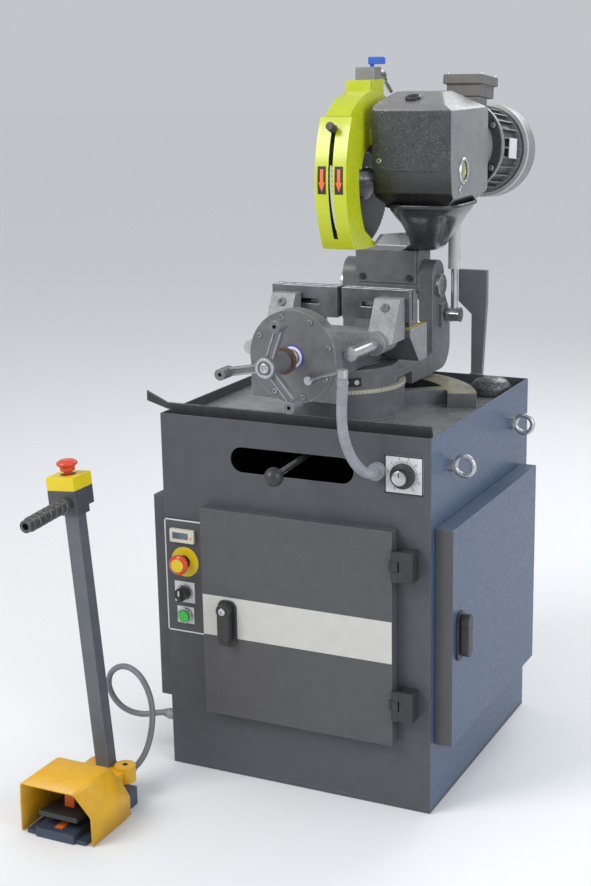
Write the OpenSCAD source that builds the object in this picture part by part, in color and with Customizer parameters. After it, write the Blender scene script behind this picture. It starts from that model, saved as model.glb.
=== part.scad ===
// Vertical cold saw on a sheet-metal cabinet, with a foot pedal stand on a cable.
// X points right, Y to the back and Z up. The origin is the middle of the cabinet's base, on the floor.
// At rest the head is up, the vise is nearly closed and the doors are shut.

/* [Cabinet] */
// Width of the cabinet
cab_w = 550; // [520:5:620]
// Depth of the cabinet
cab_d = 550; // [520:5:620]
// Height of the cabinet's walls
cab_h = 720; // [700:5:780]
// Thickness of the sheet metal
sheet_t = 3; // [2:0.5:4]
// Thickness of the base plate
base_t = 8; // [6:1:12]
// Distance of a floor anchor hole from the edges of the base plate
anchor_inset = 50; // [40:1:80]
// Radius of a floor anchor hole
anchor_r = 7; // [5:0.5:9]
// Depth of the chip tray below the walls' top
tray_depth = 20; // [15:1:30]
// Height of the front lip above the tray's floor
lip_h = 35; // [30:1:40]

/* [Front door] */
// Width of the control strip left of the front door
strip_w = 93; // [88:1:110]
// Distance of the door's hinged edge from the cabinet's right edge
door_margin = 65; // [60:1:75]
// Distance of the door's upper edge below the walls' top
door_drop = 171; // [165:1:200]
// Height of the door's lower edge above the floor
door_z = 135; // [120:1:150]
// Depth of the front door's pan
door_t = 25; // [20:1:32]

/* [Side panels] */
// Margins of a side pan at the cabinet's front and back edges
side_margins = [20, 45]; // [10:1:60]
// Distance of a side pan's upper edge below the walls' top
side_drop = 170; // [160:1:200]
// Height of a side pan's lower edge above the floor
side_z = 133; // [120:1:150]
// Depth of a side pan
side_t = 35; // [28:1:40]

/* [Turntable] */
// Height of the swivel base above the tray
swivel_base_h = 52; // [44:1:60]
// Radius of the swivel base
swivel_base_r = 117; // [112:1:125]
// Radius of the fixed column that the yoke turns on
column_r = 68; // [60:1:74]
// Outer radius of the yoke's ring
ring_r = 104; // [98:1:107]
// Height of the yoke's ring
ring_h = 43; // [38:1:48]
// Distance between the fork's two cheeks
fork_gap = 140; // [130:1:150]
// Thickness of a fork cheek
cheek_t = 30; // [24:1:36]
// Depth of a fork cheek
cheek_d = 65; // [58:1:72]
// Radius of the head's pivot pin
pivot_r = 15; // [12:0.5:18]

/* [Vise] */
// Radius of the clamping cylinder
clamp_r = 86; // [80:1:88]
// Height of the clamping axis above the tray
clamp_h = 144; // [140:1:150]
// Length of a jaw plate
jaw_l = 140; // [120:1:150]
// Height of a jaw plate
jaw_h = 60; // [50:1:70]
// Thickness of a jaw plate
jaw_t = 12; // [10:0.5:12]
// Gap between the left and right jaw plates, where the blade passes
blade_gap = 10; // [8:0.5:14]
// Gap between the front and rear jaws at rest
rest_gap = 6; // [5.5:0.5:8]
// Radius of the clamping screw
screw_r = 13.5; // [12:0.5:15]
// Radius of a guide bar
guide_r = 13; // [10:0.5:14]
// Length of a handwheel arm, axis to boss
arm_l = 83; // [78:1:94]

/* [Saw head] */
// Diameter of the saw blade
blade_d = 275; // [250:1:276]
// Thickness of the saw blade
blade_t = 2.5; // [2:0.1:3]
// Number of teeth
blade_teeth = 90; // [60:2:120]
// Radius of the spindle
spindle_r = 16; // [14:0.5:18]
// Half the width of the fixed blade guard
guard_half = 25; // [24:0.5:25.5]
// Half the width of the sliding guard cover
cover_half = 32; // [31:0.5:34]
// Width of the gearbox
gear_w = 160; // [145:1:170]
// Depth of the gearbox
gear_d = 207; // [200:1:215]
// Height of the gearbox
gear_h = 210; // [205:1:220]
// Radius of the motor's body
motor_r = 88; // [80:1:92]
// Length of the motor, end shield to cowl
motor_l = 195; // [185:5:240]

/* [Pedal stand] */
// Width of the pedal's hood
hood_w = 156; // [140:2:170]
// Depth of the pedal's hood
hood_d = 95; // [85:1:100]
// Height of the pedal's hood
hood_h = 110; // [100:1:116]
// Side of the square column
post_w = 29; // [25:1:32]
// Length of the column
post_l = 500; // [470:2:530]
// Lean of the column to the left, in degrees
post_lean = 4.5; // [3:0.5:6]
// Side of the emergency stop box
box_w = 60; // [56:1:66]

/* [Hidden] */
$fn = 64;
overrun = 1;
fit_gap = 0.05;
run_gap = 0.3;
free_gap = 2;
mushroom_shares = [0.35, 0.6, 0.8, 0.7];
strainer_shares = [0.5, 0.85, 0.8, 0.4];
dial_shares = [0.4, 0.5];
selector_share = 0.9;
latch_share = 0.69;
cap_share = 0.7;
stand_shares = [1.5, 1.4];

// Cabinet
half_w = cab_w / 2;
half_d = cab_d / 2;
tray_z = cab_h - tray_depth;
inner_w = half_w - sheet_t;
inner_d = half_d - sheet_t;
anchor_spacing = [cab_w - anchor_inset * 2, cab_d - anchor_inset * 2];
lip_in = 27;
lip_y = -half_d + lip_in;
lip_t = 4;
lip_reach = 45;
lip_wing = 20;
lip_end_gap = 5;
strainer_in = [53, 79];
strainer_x = half_w - strainer_in[0];
strainer_y = half_d - strainer_in[1];
strainer_r = 40;
strainer_h = 34;

// Eyebolts
eye_in = [95, 109];
eye_drop = 70;
eye_y = [-half_d + eye_in[0], half_d - eye_in[1]];
eye_z = cab_h - eye_drop;
eye_ring_r = 17.5;
eye_wire_r = 5;
eye_collar_r = 12.5;
eye_collar_t = 8;

// Front slot and lock lever
slot_half = 126;
slot_drop = 75.5;
slot_z = cab_h - slot_drop;
slot_r = 24.5;
lever_drop = 65;
lever_z = cab_h - lever_drop;
lever_r = 6;
lever_turn = 3.8;
lever_l = 362;
lever_ball_r = 17.5;
lever_hub_r = 20;
lever_hub_h = 30;
lock_r = 10;

// Doors and hinges
pan_t = 2.5;
door_gap = 1;
frame_margin = 30;
pin_r = 3;
knuckle_r = 7;
hinge_l = 57;
hinge_low = 55;
hinge_high = 34;
strap_l = 12;
strap_t = 6;
bracket_w = 28;
side_bracket_w = 8;
door_edge = half_w - door_margin;
door_left = -half_w + strip_w;
door_w = door_edge - door_left;
door_h = cab_h - door_drop - door_z;
door_face = -half_d - door_t;
hinge_x = door_edge + knuckle_r + run_gap;
hinge_y = door_face - strap_t / 2;
door_hinge_z = [door_z + hinge_low, door_z + door_h - hinge_high - hinge_l];
side_w = cab_d - side_margins[0] - side_margins[1];
side_h = cab_h - side_drop - side_z;
side_front = -half_d + side_margins[0];
side_back = side_front + side_w;
side_face = half_w + side_t;
side_hinge_out = 16;
side_hinge_x = half_w + side_hinge_out;
side_hinge_y = side_back + knuckle_r + run_gap;
side_hinge_z = [side_z + hinge_low, side_z + side_h - hinge_high - hinge_l];

// Door handles
handle_w = 24;
handle_l = 68;
handle_t = 16;
handle_lift = 6;
handle_hub_r = 14;
spindle_pin_r = 6;
cam_l = 34;
cam_w = 14;
cam_t = 4;
handle_inset = 54;
handle_up = 221;
handle_z = door_z + handle_up;
side_handle_inset = 36;
side_handle_up = 236;
side_handle_z = side_z + side_handle_up;

// Control panel
panel_gap = 1;
panel_door_gap = 8;
panel_left = -half_w + panel_gap;
panel_right = door_left - panel_door_gap;
panel_z = [284, 513];
panel_t = 3;
panel_face = -half_d - panel_t;
control_in = 41.5;
control_x = panel_left + control_in;
counter_z = 482;
counter_w = 52;
counter_h = 25;
counter_t = 6;
stop_z = 429;
stop_r = 20;
stop_neck_r = 14;
stop_h = 20;
stop_stem_r = 8;
stop_clear = 9;
stem_l = 24;
selector_z = 367;
selector_r = 13;
selector_h = 16;
selector_lift = 5;
bar_w = 8;
bar_h = 6;
start_z = 320;
start_r = 11;
start_h = 7;
start_lift = 6;
small_stem_r = 5;
dial_in = 51;
dial_drop = 71;
dial_x = half_w - dial_in;
dial_z = cab_h - dial_drop;
dial_r = 23;
dial_top_r = 15;
dial_h = 22;
dial_lift = 3.5;

// Hose and cable ends
gland_in = 101;
gland_drop = 67;
gland_x = half_w - gland_in;
gland_z = cab_h - gland_drop;
gland_r = 16;
gland_l = 14;
cable_in = 23;
cable_y = -half_d + cable_in;
cable_z = 90;
cable_gland_r = 11;
cable_gland_l = 22;
elbow_x = 38;
elbow_rise = 106;
elbow_z = tray_z + elbow_rise;
elbow_r = 8;
elbow_l = 16;
cap_h = 14;
cap_out = 89;
tube_r = 4;
hose_r = 9.5;
hose_bore_r = 6.5;
hose_rib_h = 1.2;
hose_ribs = 56;
cable_r = 6;

// Turntable
axis_y = -30;
base_top = tray_z + swivel_base_h;
ring_z = base_top + run_gap;
ring_top = ring_z + ring_h;
scale_h = 8;
arm_z = base_top + scale_h + free_gap;
slab_h = 14;
quadrant_gap = 19;
quadrant_w = 56;
quadrant_out = min(half_w, half_d) - quadrant_gap;
quadrant_in = quadrant_out - quadrant_w;
quadrant_h = 30;
quadrant_from = 20;
quadrant_to = 100;
web_w = 30;
cheek_x = fork_gap / 2;
yoke_x = cheek_x + cheek_t;
cheek_y = 184;
cheek_back = cheek_y + cheek_d;
pivot_y = cheek_y + cheek_d / 2;
pivot_rise = 213;
pivot_z = tray_z + pivot_rise;
cheek_round_up = 19;
cheek_round_z = pivot_z + cheek_round_up;
heel_rise = 36;
heel_front = 74;
heel_out = 36;
heel_r = 50;
heel_up = [64, 49];
heel_low = tray_z + heel_rise;
heel_back = cheek_back + heel_out;
heel_mid = [heel_back - heel_r, heel_low + heel_r];
heel_top = [heel_mid[1] + heel_up[0], heel_mid[1] + heel_up[0] + heel_up[1]];
pin_head_r = 23.5;
pin_head_t = 10;

// Vise
vise_z = tray_z + clamp_h;
clamp_y = [-260, -228];
skirt_drop = 80;
skirt_z = vise_z - skirt_drop;
bed_z = ring_top + free_gap;
bed_drop = 18;
bed_top = vise_z - bed_drop;
bed_half = 62;
wing_x = [75, 142];
wing_y = [-42, 45];
wing_foot_y = 4;
wing_lip = 14;
wing_rise = 22;
wing_top = vise_z + wing_rise;
jaw_rise = 38;
jaw_z = vise_z + jaw_rise;
jaw_top = jaw_z + jaw_h;
rear_jaw_y = -32;
front_jaw_y = rear_jaw_y - rest_gap;
jaw_front = front_jaw_y - jaw_t;
rear_back = rear_jaw_y + jaw_t;
post_x = [75, 132];
post_back = 22;
post_drop = 17;
post_top = jaw_top - post_drop;
jaw_slot_l = 70;
jaw_slot_h = 10;
jaw_slot_in = 40;
guide_x = 102;
guide_rise = 6;
guide_z = vise_z + guide_rise;
guide_y = [-230, 85];
boss_r = 22;
beam_y = [-112, -62];
beam_drop = 16;
beam_rise = 26;
beam_z = [vise_z - beam_drop, vise_z + beam_rise];
bracket_x = [83, 134];
bracket_t = 24;
bracket_foot = 65;
bracket_drop = 14;
bracket_top = jaw_top - bracket_drop;
screw_y = [-360, -70];
collar_r = 25;
collar_y = [-300, -292];
hub_r = 19;
hub_y = [-370, -302];
arm_w = 15;
arm_t = 13;
boss_out = 16;
boss_end_r = 10.5;
boss_end_l = 36;
boss_hole_r = 4;
boss_hole_d = 12;
arm_turns = [70, 190, 310];

// Saw head: the gearbox and motor are placed from the spindle and lean about it
spin_y = 60;
spin_rise = 445;
spin_z = tray_z + spin_rise;
head_lean = 6;
blade_r = blade_d / 2;
tooth_h = 4;
gullet_share = 0.7;
flange_r = 45;
flange_t = 9;
gear_x = 45;
gear_front = 5;
gear_drop = 53;
gear_low = spin_z - gear_drop;
gear_wall = 12;
gear_in = [9, 90, 145, 22, 30, 6];
gear_up = [68, 30, 22, 40, 20, 24];
gear_low_cut = 16;
gear_left_cut = [12, 17];
gear_right_cut = [53, 32];
gear_top = gear_low + gear_h;
gear_right = gear_x + gear_w;
gear_back = gear_front + gear_d;
motor_x = gear_x + gear_w / 2;
worm_rise = 65;
worm_r = 24.5;
mesh_gap = 0.5;
wheel_r = worm_rise - worm_r - mesh_gap;
wheel_t = 30;
shaft_r = 12;
adaptor_r = 74;
end_plate_r = 94;
end_plate_t = 14;
adaptor_y = 145;
adaptor_l = 60;
adaptor_core_r = 60;
adaptor_core_l = 25;
motor_y = adaptor_y + adaptor_l;
cowl_over = 9;
cowl_r = motor_r + cowl_over;
cowl_l = 55;
cowl_t = 3;
fin_count = 28;
fin_h = 9;
fin_t = 3;
shield_l = 14;
fan_r = 70;
fan_t = 20;
fan_hub_r = 18;
rotor_r = 45;
rotor_gap = 0.6;
rotor_in = 20;
rotor_l = 90;
pad_x = [113, 181];
pad_in = [6, 52];
pad_y = [adaptor_y + pad_in[0], adaptor_y + pad_in[1]];
pad_z = 160;
term_x = [111, 183];
term_y = [150, 230];
term_h = 25;
term_lid_h = 18;
term_lid_over = 6;

// Head arm
arm_half = cheek_x - run_gap;
arm_r = 32;
arm_rise = 72;
arm_top = pivot_z + arm_rise;
arm_cover_t = 4;
arm_cover_in = 6;
neck_foot_x = [25, 69];
neck_foot_y = [190, 245];
neck_r = [42, 60, 62, 52];
neck_x = [86, 112, 125, 133];
neck_y = [190, 142, 92, 138];
neck_up = [25, 65];
neck_z = [arm_top + neck_up[0], arm_top + neck_up[1], gear_low, gear_low];
slice = 2;
link_x = [35, 43];
link_y = [32, 66, 190, 169];
link_up = [31, 46, 36, 13];
link_boss_y = [150, 170];
link_boss_up = [15, 37];
link_boss_x = 62;

// Blade guard
guard_r = 160;
guard_in = 147;
guard_wall = 3;
guard_hole_r = 60;
guard_from = 55;
guard_rim_to = 133;
guard_side_r = 146;
guard_side_to = 148;
guard_tail_r = 141;
guard_tail_to = 165;
guard_back_r = 118;
guard_back_from = -62;
guard_rise = 180;
guard_top = spin_z + guard_rise;
guard_block_y = [45, 112];
guard_foot_y = [40, 90];
guard_foot_up = [60, 88];
guard_foot_z = [spin_z + guard_foot_up[0], spin_z + guard_foot_up[1]];
cover_y = 164;
cover_drop = 5;
cover_z = spin_z - cover_drop;
cover_r = 251;
cover_wall = 3;
cover_depth = 61;
cover_from = 151;
cover_to = 210;
cover_slot_w = 9;
cover_slot_from = 155;
cover_slot_to = 205;
flare_y = [-2, 60];
flare_drop = 135;
flare_z = spin_z - flare_drop;
knob_turn = 157;
knob_r = 8;
knob_l = 22;
knob_stem_r = 3.5;
knob_bar_r = 4;
knob_bar_in = 13;

// Coolant valve
coolant_x = 20;
coolant_y = [78, 112];
coolant_h = 24;
barb_r = 7;
barb_l = 20;
valve_x = 8;
valve_y = 95;
valve_stem_r = 4;
valve_stem_h = 6;
valve_l = 26;
valve_w = 12;
valve_h = 13;

// Head balance cylinder
ram_x = [112, 140];
ram_y = 240;
ram_drop = 63;
ram_rise = 147;
ram_low_z = pivot_z - ram_drop;
ram_top_z = pivot_z + ram_rise;
ram_r = 13;
ram_body_l = 100;
ram_rod_r = 7;
ram_rod_in = 40;
ram_rod_top = ram_top_z - ram_rod_in;
ram_eye_r = 15;
ram_pin_r = 6;
ram_open = 3.2;
ram_lug_w = 24;
ram_lug_x = 108;
ear_t = 12;
ear_y = [204, 206, 222, 258, 256];
ear_up = [54, 25, -15, -10, 54];

// Hose post behind the cabinet
stand_x = [116, 178];
stand_t = 12;
stand_gap = 16;
stand_clear = 20;
stand_y = max(half_d + stand_gap, ram_y + ram_eye_r + stand_clear);
stand_w = 22;
stand_drop = 40;
stand_rise = 216;
stand_z = [cab_h - stand_drop, cab_h + stand_rise];
stand_plate_h = 66;

// Pedal stand
pedal_x = -310;
pedal_y = -637;
hood_t = 3;
hood_half = [hood_w / 2, 74];
hood_over = 23;
hood_top_half = [58, 52];
hood_knee_z = [56, 36];
hood_top_z = [hood_h, 66];
hood_mid = pedal_y + hood_d;
hood_back = -500;
foot_w = 126;
foot_h = 8;
foot_out = 3;
foot_front = pedal_y - foot_out;
foot_back = -461;
rest_y = [-645, -560];
rest_h = 18;
block_h = 36;
house_x = [-366, -274];
house_back = -428;
house_top = 60;
boss_x = -280;
boss_y = -448;
boss_out_r = 20;
boss_top = 68;
post_x0 = -324;
post_y0 = -446;
post_z0 = house_top;
post_wall = 3;
post_foot_l = 8;
box_h = 35;
box_lid_h = 25;
neck_box_w = 40;
neck_box_h = 15;
box_off = -5;
grip_r = 12;
grip_l = 136;
grip_x = 8;
grip_in = 13;
grip_drop = 3;
grip_ribs = 7;
grip_rib_h = 2;
grip_bore_r = 7;
grip_bore_l = 30;
post_stop_clear = 7;
treadle_w = 82;
treadle_in = [5, 125];
treadle_y = [pedal_y + treadle_in[0], pedal_y + treadle_in[1]];
treadle_z = 30;
treadle_t = 9;
treadle_tilt = -5;
treadle_pin_r = 5;
lug_w = 10;
lug_top = 40;
lug_reach = treadle_w / 2 + free_gap + lug_w;
latch_w = 20;
latch_t = 5;
latch_h = 42;

// Routes of the hose and the pedal cable
// The hose is laid out from the clamping cylinder's face at its top and the cabinet's at its end
hose_path = [
  [140, 0, 114], [140, -5.3, 98], [139.2, -11.3, 82], [138.6, -17.3, 67], [138.6, -23.3, 49.4],
  [139.6, -29.3, 31.6], [142.2, -35.3, 13.9], [146.8, -40.9, -3.4], [153.2, -45.5, -19.9], [160, -45.8, -35.6],
  [166, -41.1, -49], [170.6, -32.5, -59], [173.3, -22.4, -65.1], [174, -17.2, -66.9], [174, -14, -67]
];
hose_route = [for (i = [0 : len(hose_path) - 1]) let (s = i / (len(hose_path) - 1))
  hose_path[i] + [0, (1 - s) * (clamp_y[0] - cap_out) - s * half_d, cab_h]];
cable_route = [
  [-297, -252, 90], [-307, -252, 90], [-324, -252.4, 86.5], [-343, -253.5, 81], [-364, -256, 78.5],
  [-385, -262, 83.5], [-403, -268, 96], [-416, -274, 117], [-420, -280, 143], [-411, -286, 169],
  [-391, -292, 188], [-368, -298, 197], [-345, -304, 196], [-323, -310, 185], [-304, -318, 165],
  [-290, -328, 140], [-282, -341, 113], [-279, -357, 84], [-278.6, -377, 62], [-279.3, -399, 50.6],
  [-280, -415, 48], [-280, -427.7, 48]
];

// Box between two corners
module span(lo, hi) {
  translate(lo) cube(hi - lo);
}

// Round bars along each axis
module bar_x(r, x, y, z) {
  translate([x[0], y, z]) rotate([0, 90, 0]) cylinder(h = x[1] - x[0], r = r);
}
module bar_y(r, y, x, z) {
  translate([x, y[0], z]) rotate([-90, 0, 0]) cylinder(h = y[1] - y[0], r = r);
}
module bar_z(r, z, x, y) {
  translate([x, y, z[0]]) cylinder(h = z[1] - z[0], r = r);
}

// Round bar between two points
module rod(a, b, r) {
  d = b - a;
  translate(a) rotate([0, acos(d.z / norm(d)), atan2(d.y, d.x)]) cylinder(h = norm(d), r = r);
}

// Extrusions along each axis: outlines are drawn in (y, z), (x, z) and (x, y)
module slab_x(x) {
  translate([x[0], 0, 0]) rotate([90, 0, 90]) linear_extrude(x[1] - x[0]) children();
}
module slab_y(y) {
  translate([0, y[1], 0]) rotate([90, 0, 0]) linear_extrude(y[1] - y[0]) children();
}
module slab_z(z) {
  translate([0, 0, z[0]]) linear_extrude(z[1] - z[0]) children();
}

// Flat rectangle between two corners
module rect(lo, hi) {
  translate(lo) square(hi - lo);
}

// Flat sector of a ring, from one angle to another
module sector(r_in, r_out, from, to) {
  reach = r_out * 2;
  mid = (from + to) / 2;
  intersection() {
    difference() {
      circle(r_out);
      circle(r_in);
    }
    polygon([
      [0, 0], reach * [cos(from), sin(from)], reach * [cos(mid), sin(mid)], reach * [cos(to), sin(to)]
    ]);
  }
}

// Turned piece about an axis that points to -Y: outline in (radius, height)
module turned_front(x, y, z) {
  translate([x, y, z]) rotate([90, 0, 0]) rotate_extrude() children();
}

// Points of a ring about a place, square to a direction that no route here shares with the reference
function across(d) = let (s = cross(d, [1, 1, 1])) s / norm(s);
function ring_points(c, d, r, sides) =
  let (u = across(d), w = cross(d, u))
  [for (i = [0 : sides - 1]) c + r * (cos(360 * i / sides) * u + sin(360 * i / sides) * w)];
function unit(v) = v / norm(v);
function heading(p, i) =
  i == 0 ? unit(p[1] - p[0])
  : i == len(p) - 1 ? unit(p[i] - p[i - 1])
  : unit(unit(p[i + 1] - p[i]) + unit(p[i] - p[i - 1]));
function tube_faces(rings, sides) = [
  for (k = [0 : rings - 2], i = [0 : sides - 1]) let (j = (i + 1) % sides, a = k * sides, b = a + sides)
    each [[a + i, a + j, b + j], [a + i, b + j, b + i]]
];
// Point and heading at a share of the way along a route of evenly weighted points
function route_at(p, s) =
  let (f = s * (len(p) - 1), i = min(floor(f), len(p) - 2), t = f - i,
       a = p[max(i - 1, 0)], b = p[i], c = p[i + 1], d = p[min(i + 2, len(p) - 1)])
  0.5 * ((2 * b) + t * (c - a) + t * t * (2 * a - 5 * b + 4 * c - d) + t * t * t * (3 * b - a - 3 * c + d));

// Doors, hinges and handles

module hinge_knuckles(x, y, z, turn, reach) {
  third = hinge_l / 3;
  translate([x, y, z]) rotate([0, 0, turn]) {
    for (low = [0, hinge_l - third + run_gap]) {
      bar_z(knuckle_r, [low, low + third - run_gap], 0, 0);
      span([0, -strap_t / 2, low], [knuckle_r + reach, strap_t / 2, low + third - run_gap]);
    }
    bar_z(pin_r, [0, hinge_l], 0, 0);
  }
}
module hinge_strap(x, y, z, turn) {
  third = hinge_l / 3;
  translate([x, y, z]) rotate([0, 0, turn]) difference() {
    union() {
      bar_z(knuckle_r, [third, hinge_l - third], 0, 0);
      span([-strap_l, -strap_t / 2, third], [0, strap_t / 2, hinge_l - third]);
    }
    bar_z(pin_r + fit_gap, [-overrun, hinge_l + overrun], 0, 0);
  }
}
module swing_handle() {
  bar_y(handle_hub_r, [-handle_lift - handle_t, -handle_lift], 0, 0);
  slab_y([-handle_lift - handle_t, -handle_lift]) {
    rect([-handle_w / 2, -handle_l + handle_w / 2], [handle_w / 2, 0]);
    translate([0, -handle_l + handle_w / 2]) circle(handle_w / 2);
  }
  bar_y(spindle_pin_r, [-handle_lift - overrun, pan_t + cam_t + free_gap], 0, 0);
  span([-cam_w / 2, pan_t + free_gap, -cam_w / 2], [cam_l, pan_t + free_gap + cam_t, cam_w / 2]);
}

// Cabinet

module base_plate() {
  color("dimgray") difference() {
    span([-half_w, -half_d, 0], [half_w, half_d, base_t]);
    for (x = [-1, 1], y = [-1, 1])
      bar_z(anchor_r, [-overrun, base_t + overrun], x * anchor_spacing[0] / 2, y * anchor_spacing[1] / 2);
  }
}

module front_panel() {
  color([0.25, 0.26, 0.28]) {
    difference() {
      span([-half_w, -half_d, base_t], [half_w, -inner_d, cab_h]);
      span([door_left + frame_margin, -half_d - overrun, door_z + frame_margin],
           [door_edge - frame_margin, -inner_d + overrun, door_z + door_h - frame_margin]);
      slab_y([-half_d - overrun, -inner_d + overrun]) {
        rect([-slot_half + slot_r, slot_z - slot_r], [slot_half - slot_r, slot_z + slot_r]);
        for (x = [-1, 1])
          translate([x * (slot_half - slot_r), slot_z]) circle(slot_r);
      }
      control_holes();
      bar_y(small_stem_r + fit_gap, [-half_d - overrun, -inner_d + overrun], dial_x, dial_z);
    }
    for (z = door_hinge_z) {
      hinge_knuckles(hinge_x, hinge_y, z, 0, bracket_w);
      span([hinge_x + knuckle_r + free_gap, hinge_y - strap_t / 2, z],
           [hinge_x + knuckle_r + bracket_w, -half_d, z + hinge_l]);
    }
  }
}
module control_holes() {
  y = [panel_face - overrun, -inner_d + overrun];
  bar_y(stop_stem_r + fit_gap, y, control_x, stop_z);
  bar_y(small_stem_r + fit_gap, y, control_x, selector_z);
  bar_y(small_stem_r + fit_gap, y, control_x, start_z);
}

module cabinet_shell() {
  color([0.24, 0.25, 0.28]) {
    difference() {
      span([-half_w, -inner_d, base_t], [half_w, half_d, cab_h]);
      span([-inner_w, -half_d, base_t - overrun], [inner_w, inner_d, cab_h + overrun]);
      span([inner_w - overrun, side_front + frame_margin, side_z + frame_margin],
           [half_w + overrun, side_back - frame_margin, side_z + side_h - frame_margin]);
    }
    for (z = side_hinge_z) {
      hinge_knuckles(side_hinge_x, side_hinge_y, z, 90, side_bracket_w);
      span([half_w, side_hinge_y + knuckle_r + free_gap, z],
           [side_hinge_x + strap_t / 2, side_hinge_y + knuckle_r + side_bracket_w, z + hinge_l]);
    }
  }
}

module chip_tray() {
  color("gray") difference() {
    span([-inner_w, -inner_d, tray_z - sheet_t], [inner_w, inner_d, tray_z]);
    bar_z(lock_r + free_gap, [tray_z - sheet_t - overrun, tray_z + overrun], 0, axis_y);
  }
}

module tray_lip() {
  top = tray_z + lip_h;
  end = inner_w - lip_end_gap;
  color([0.12, 0.12, 0.13]) slab_y([lip_y, lip_y + lip_t]) polygon([
    [end, tray_z], [end, top], [-half_w, top], [-half_w - lip_reach, top + lip_wing],
    [-half_w - lip_reach, top], [-half_w, cab_h + free_gap], [-end, cab_h + free_gap], [-end, tray_z]
  ]);
}

module strainer() {
  q = strainer_shares;
  color([0.15, 0.15, 0.16]) translate([strainer_x, strainer_y, tray_z]) rotate_extrude() polygon([
    [0, 0], [strainer_r, 0], [strainer_r, strainer_h * q[0]], [strainer_r * q[2], strainer_h * q[1]],
    [strainer_r * q[3], strainer_h], [0, strainer_h]
  ]);
}

module left_cover() {
  color([0.24, 0.25, 0.28]) difference() {
    span([-side_face, side_front, side_z], [-half_w, side_back, side_z + side_h]);
    span([-side_face + pan_t, side_front + pan_t, side_z + pan_t],
         [-half_w + overrun, side_back - pan_t, side_z + side_h - pan_t]);
  }
}

module eyebolts() {
  reach = eye_collar_t + eye_ring_r + eye_wire_r / 2;
  color("silver") for (side = [0, 1], y = eye_y)
    mirror([side, 0, 0]) {
      bar_x(eye_collar_r, [half_w, half_w + eye_collar_t], y, eye_z);
      translate([half_w + reach, y, eye_z]) rotate([90, 0, 0])
        rotate_extrude() translate([eye_ring_r, 0]) circle(eye_wire_r);
    }
}

module front_door() {
  top = door_z + door_h;
  color([0.2, 0.2, 0.21]) {
    difference() {
      span([door_left, door_face, door_z], [door_edge, -half_d - door_gap, top]);
      span([door_left + pan_t, door_face + pan_t, door_z + pan_t],
           [door_edge - pan_t, -half_d + overrun, top - pan_t]);
      bar_y(spindle_pin_r + fit_gap, [door_face - overrun, -half_d], door_left + handle_inset, handle_z);
    }
    for (z = door_hinge_z)
      hinge_strap(hinge_x, hinge_y, z, 0);
  }
}
module front_door_handle() {
  color([0.08, 0.08, 0.09]) translate([door_left + handle_inset, door_face, handle_z]) swing_handle();
}

module right_door() {
  top = side_z + side_h;
  color([0.24, 0.25, 0.28]) {
    difference() {
      span([half_w + door_gap, side_front, side_z], [side_face, side_back, top]);
      span([half_w - overrun, side_front + pan_t, side_z + pan_t],
           [side_face - pan_t, side_back - pan_t, top - pan_t]);
      bar_x(spindle_pin_r + fit_gap, [half_w, side_face + overrun],
            side_front + side_handle_inset, side_handle_z);
    }
    for (z = side_hinge_z)
      hinge_strap(side_hinge_x, side_hinge_y, z, 90);
  }
}
module right_door_handle() {
  color([0.08, 0.08, 0.09])
    translate([side_face, side_front + side_handle_inset, side_handle_z]) rotate([0, 0, 90]) swing_handle();
}

// Controls

module control_panel() {
  color([0.1, 0.1, 0.11]) difference() {
    union() {
      span([panel_left, panel_face, panel_z[0]], [panel_right, -half_d, panel_z[1]]);
      span([control_x - counter_w / 2, panel_face - counter_t, counter_z - counter_h / 2],
           [control_x + counter_w / 2, -half_d, counter_z + counter_h / 2]);
    }
    control_holes();
  }
}
module stop_mushroom() {
  q = mushroom_shares;
  polygon([
    [0, 0], [stop_neck_r, 0], [stop_neck_r, stop_h * q[0]], [stop_r, stop_h * q[1]],
    [stop_r, stop_h * q[2]], [stop_r * q[3], stop_h], [0, stop_h]
  ]);
}
module panel_stop() {
  back = panel_face - stop_clear;
  color("red") {
    turned_front(control_x, back, stop_z) stop_mushroom();
    bar_y(stop_stem_r, [back - overrun, back + stem_l], control_x, stop_z);
  }
}
module mode_selector() {
  back = panel_face - selector_lift;
  face = back - selector_h;
  half = selector_r * selector_share;
  color([0.05, 0.05, 0.05]) {
    bar_y(selector_r, [face, back], control_x, selector_z);
    span([control_x - bar_w / 2, face - bar_h, selector_z - half],
         [control_x + bar_w / 2, face + overrun, selector_z + half]);
    bar_y(small_stem_r, [back - overrun, back + stem_l], control_x, selector_z);
  }
}
module start_button() {
  back = panel_face - start_lift;
  color([0.1, 0.6, 0.2]) {
    bar_y(start_r, [back - start_h, back], control_x, start_z);
    bar_y(small_stem_r, [back - overrun, back + stem_l], control_x, start_z);
  }
}
module feed_dial() {
  q = dial_shares;
  face = -half_d - dial_lift;
  color([0.1, 0.1, 0.1]) {
    turned_front(dial_x, face, dial_z) polygon([
      [0, 0], [dial_r, 0], [dial_r, dial_h * q[0]], [dial_top_r, dial_h * q[1]],
      [dial_top_r, dial_h], [0, dial_h]
    ]);
    bar_y(small_stem_r, [face - overrun, face + stem_l], dial_x, dial_z);
  }
}

// Hose and cable ends, hose and cable

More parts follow.
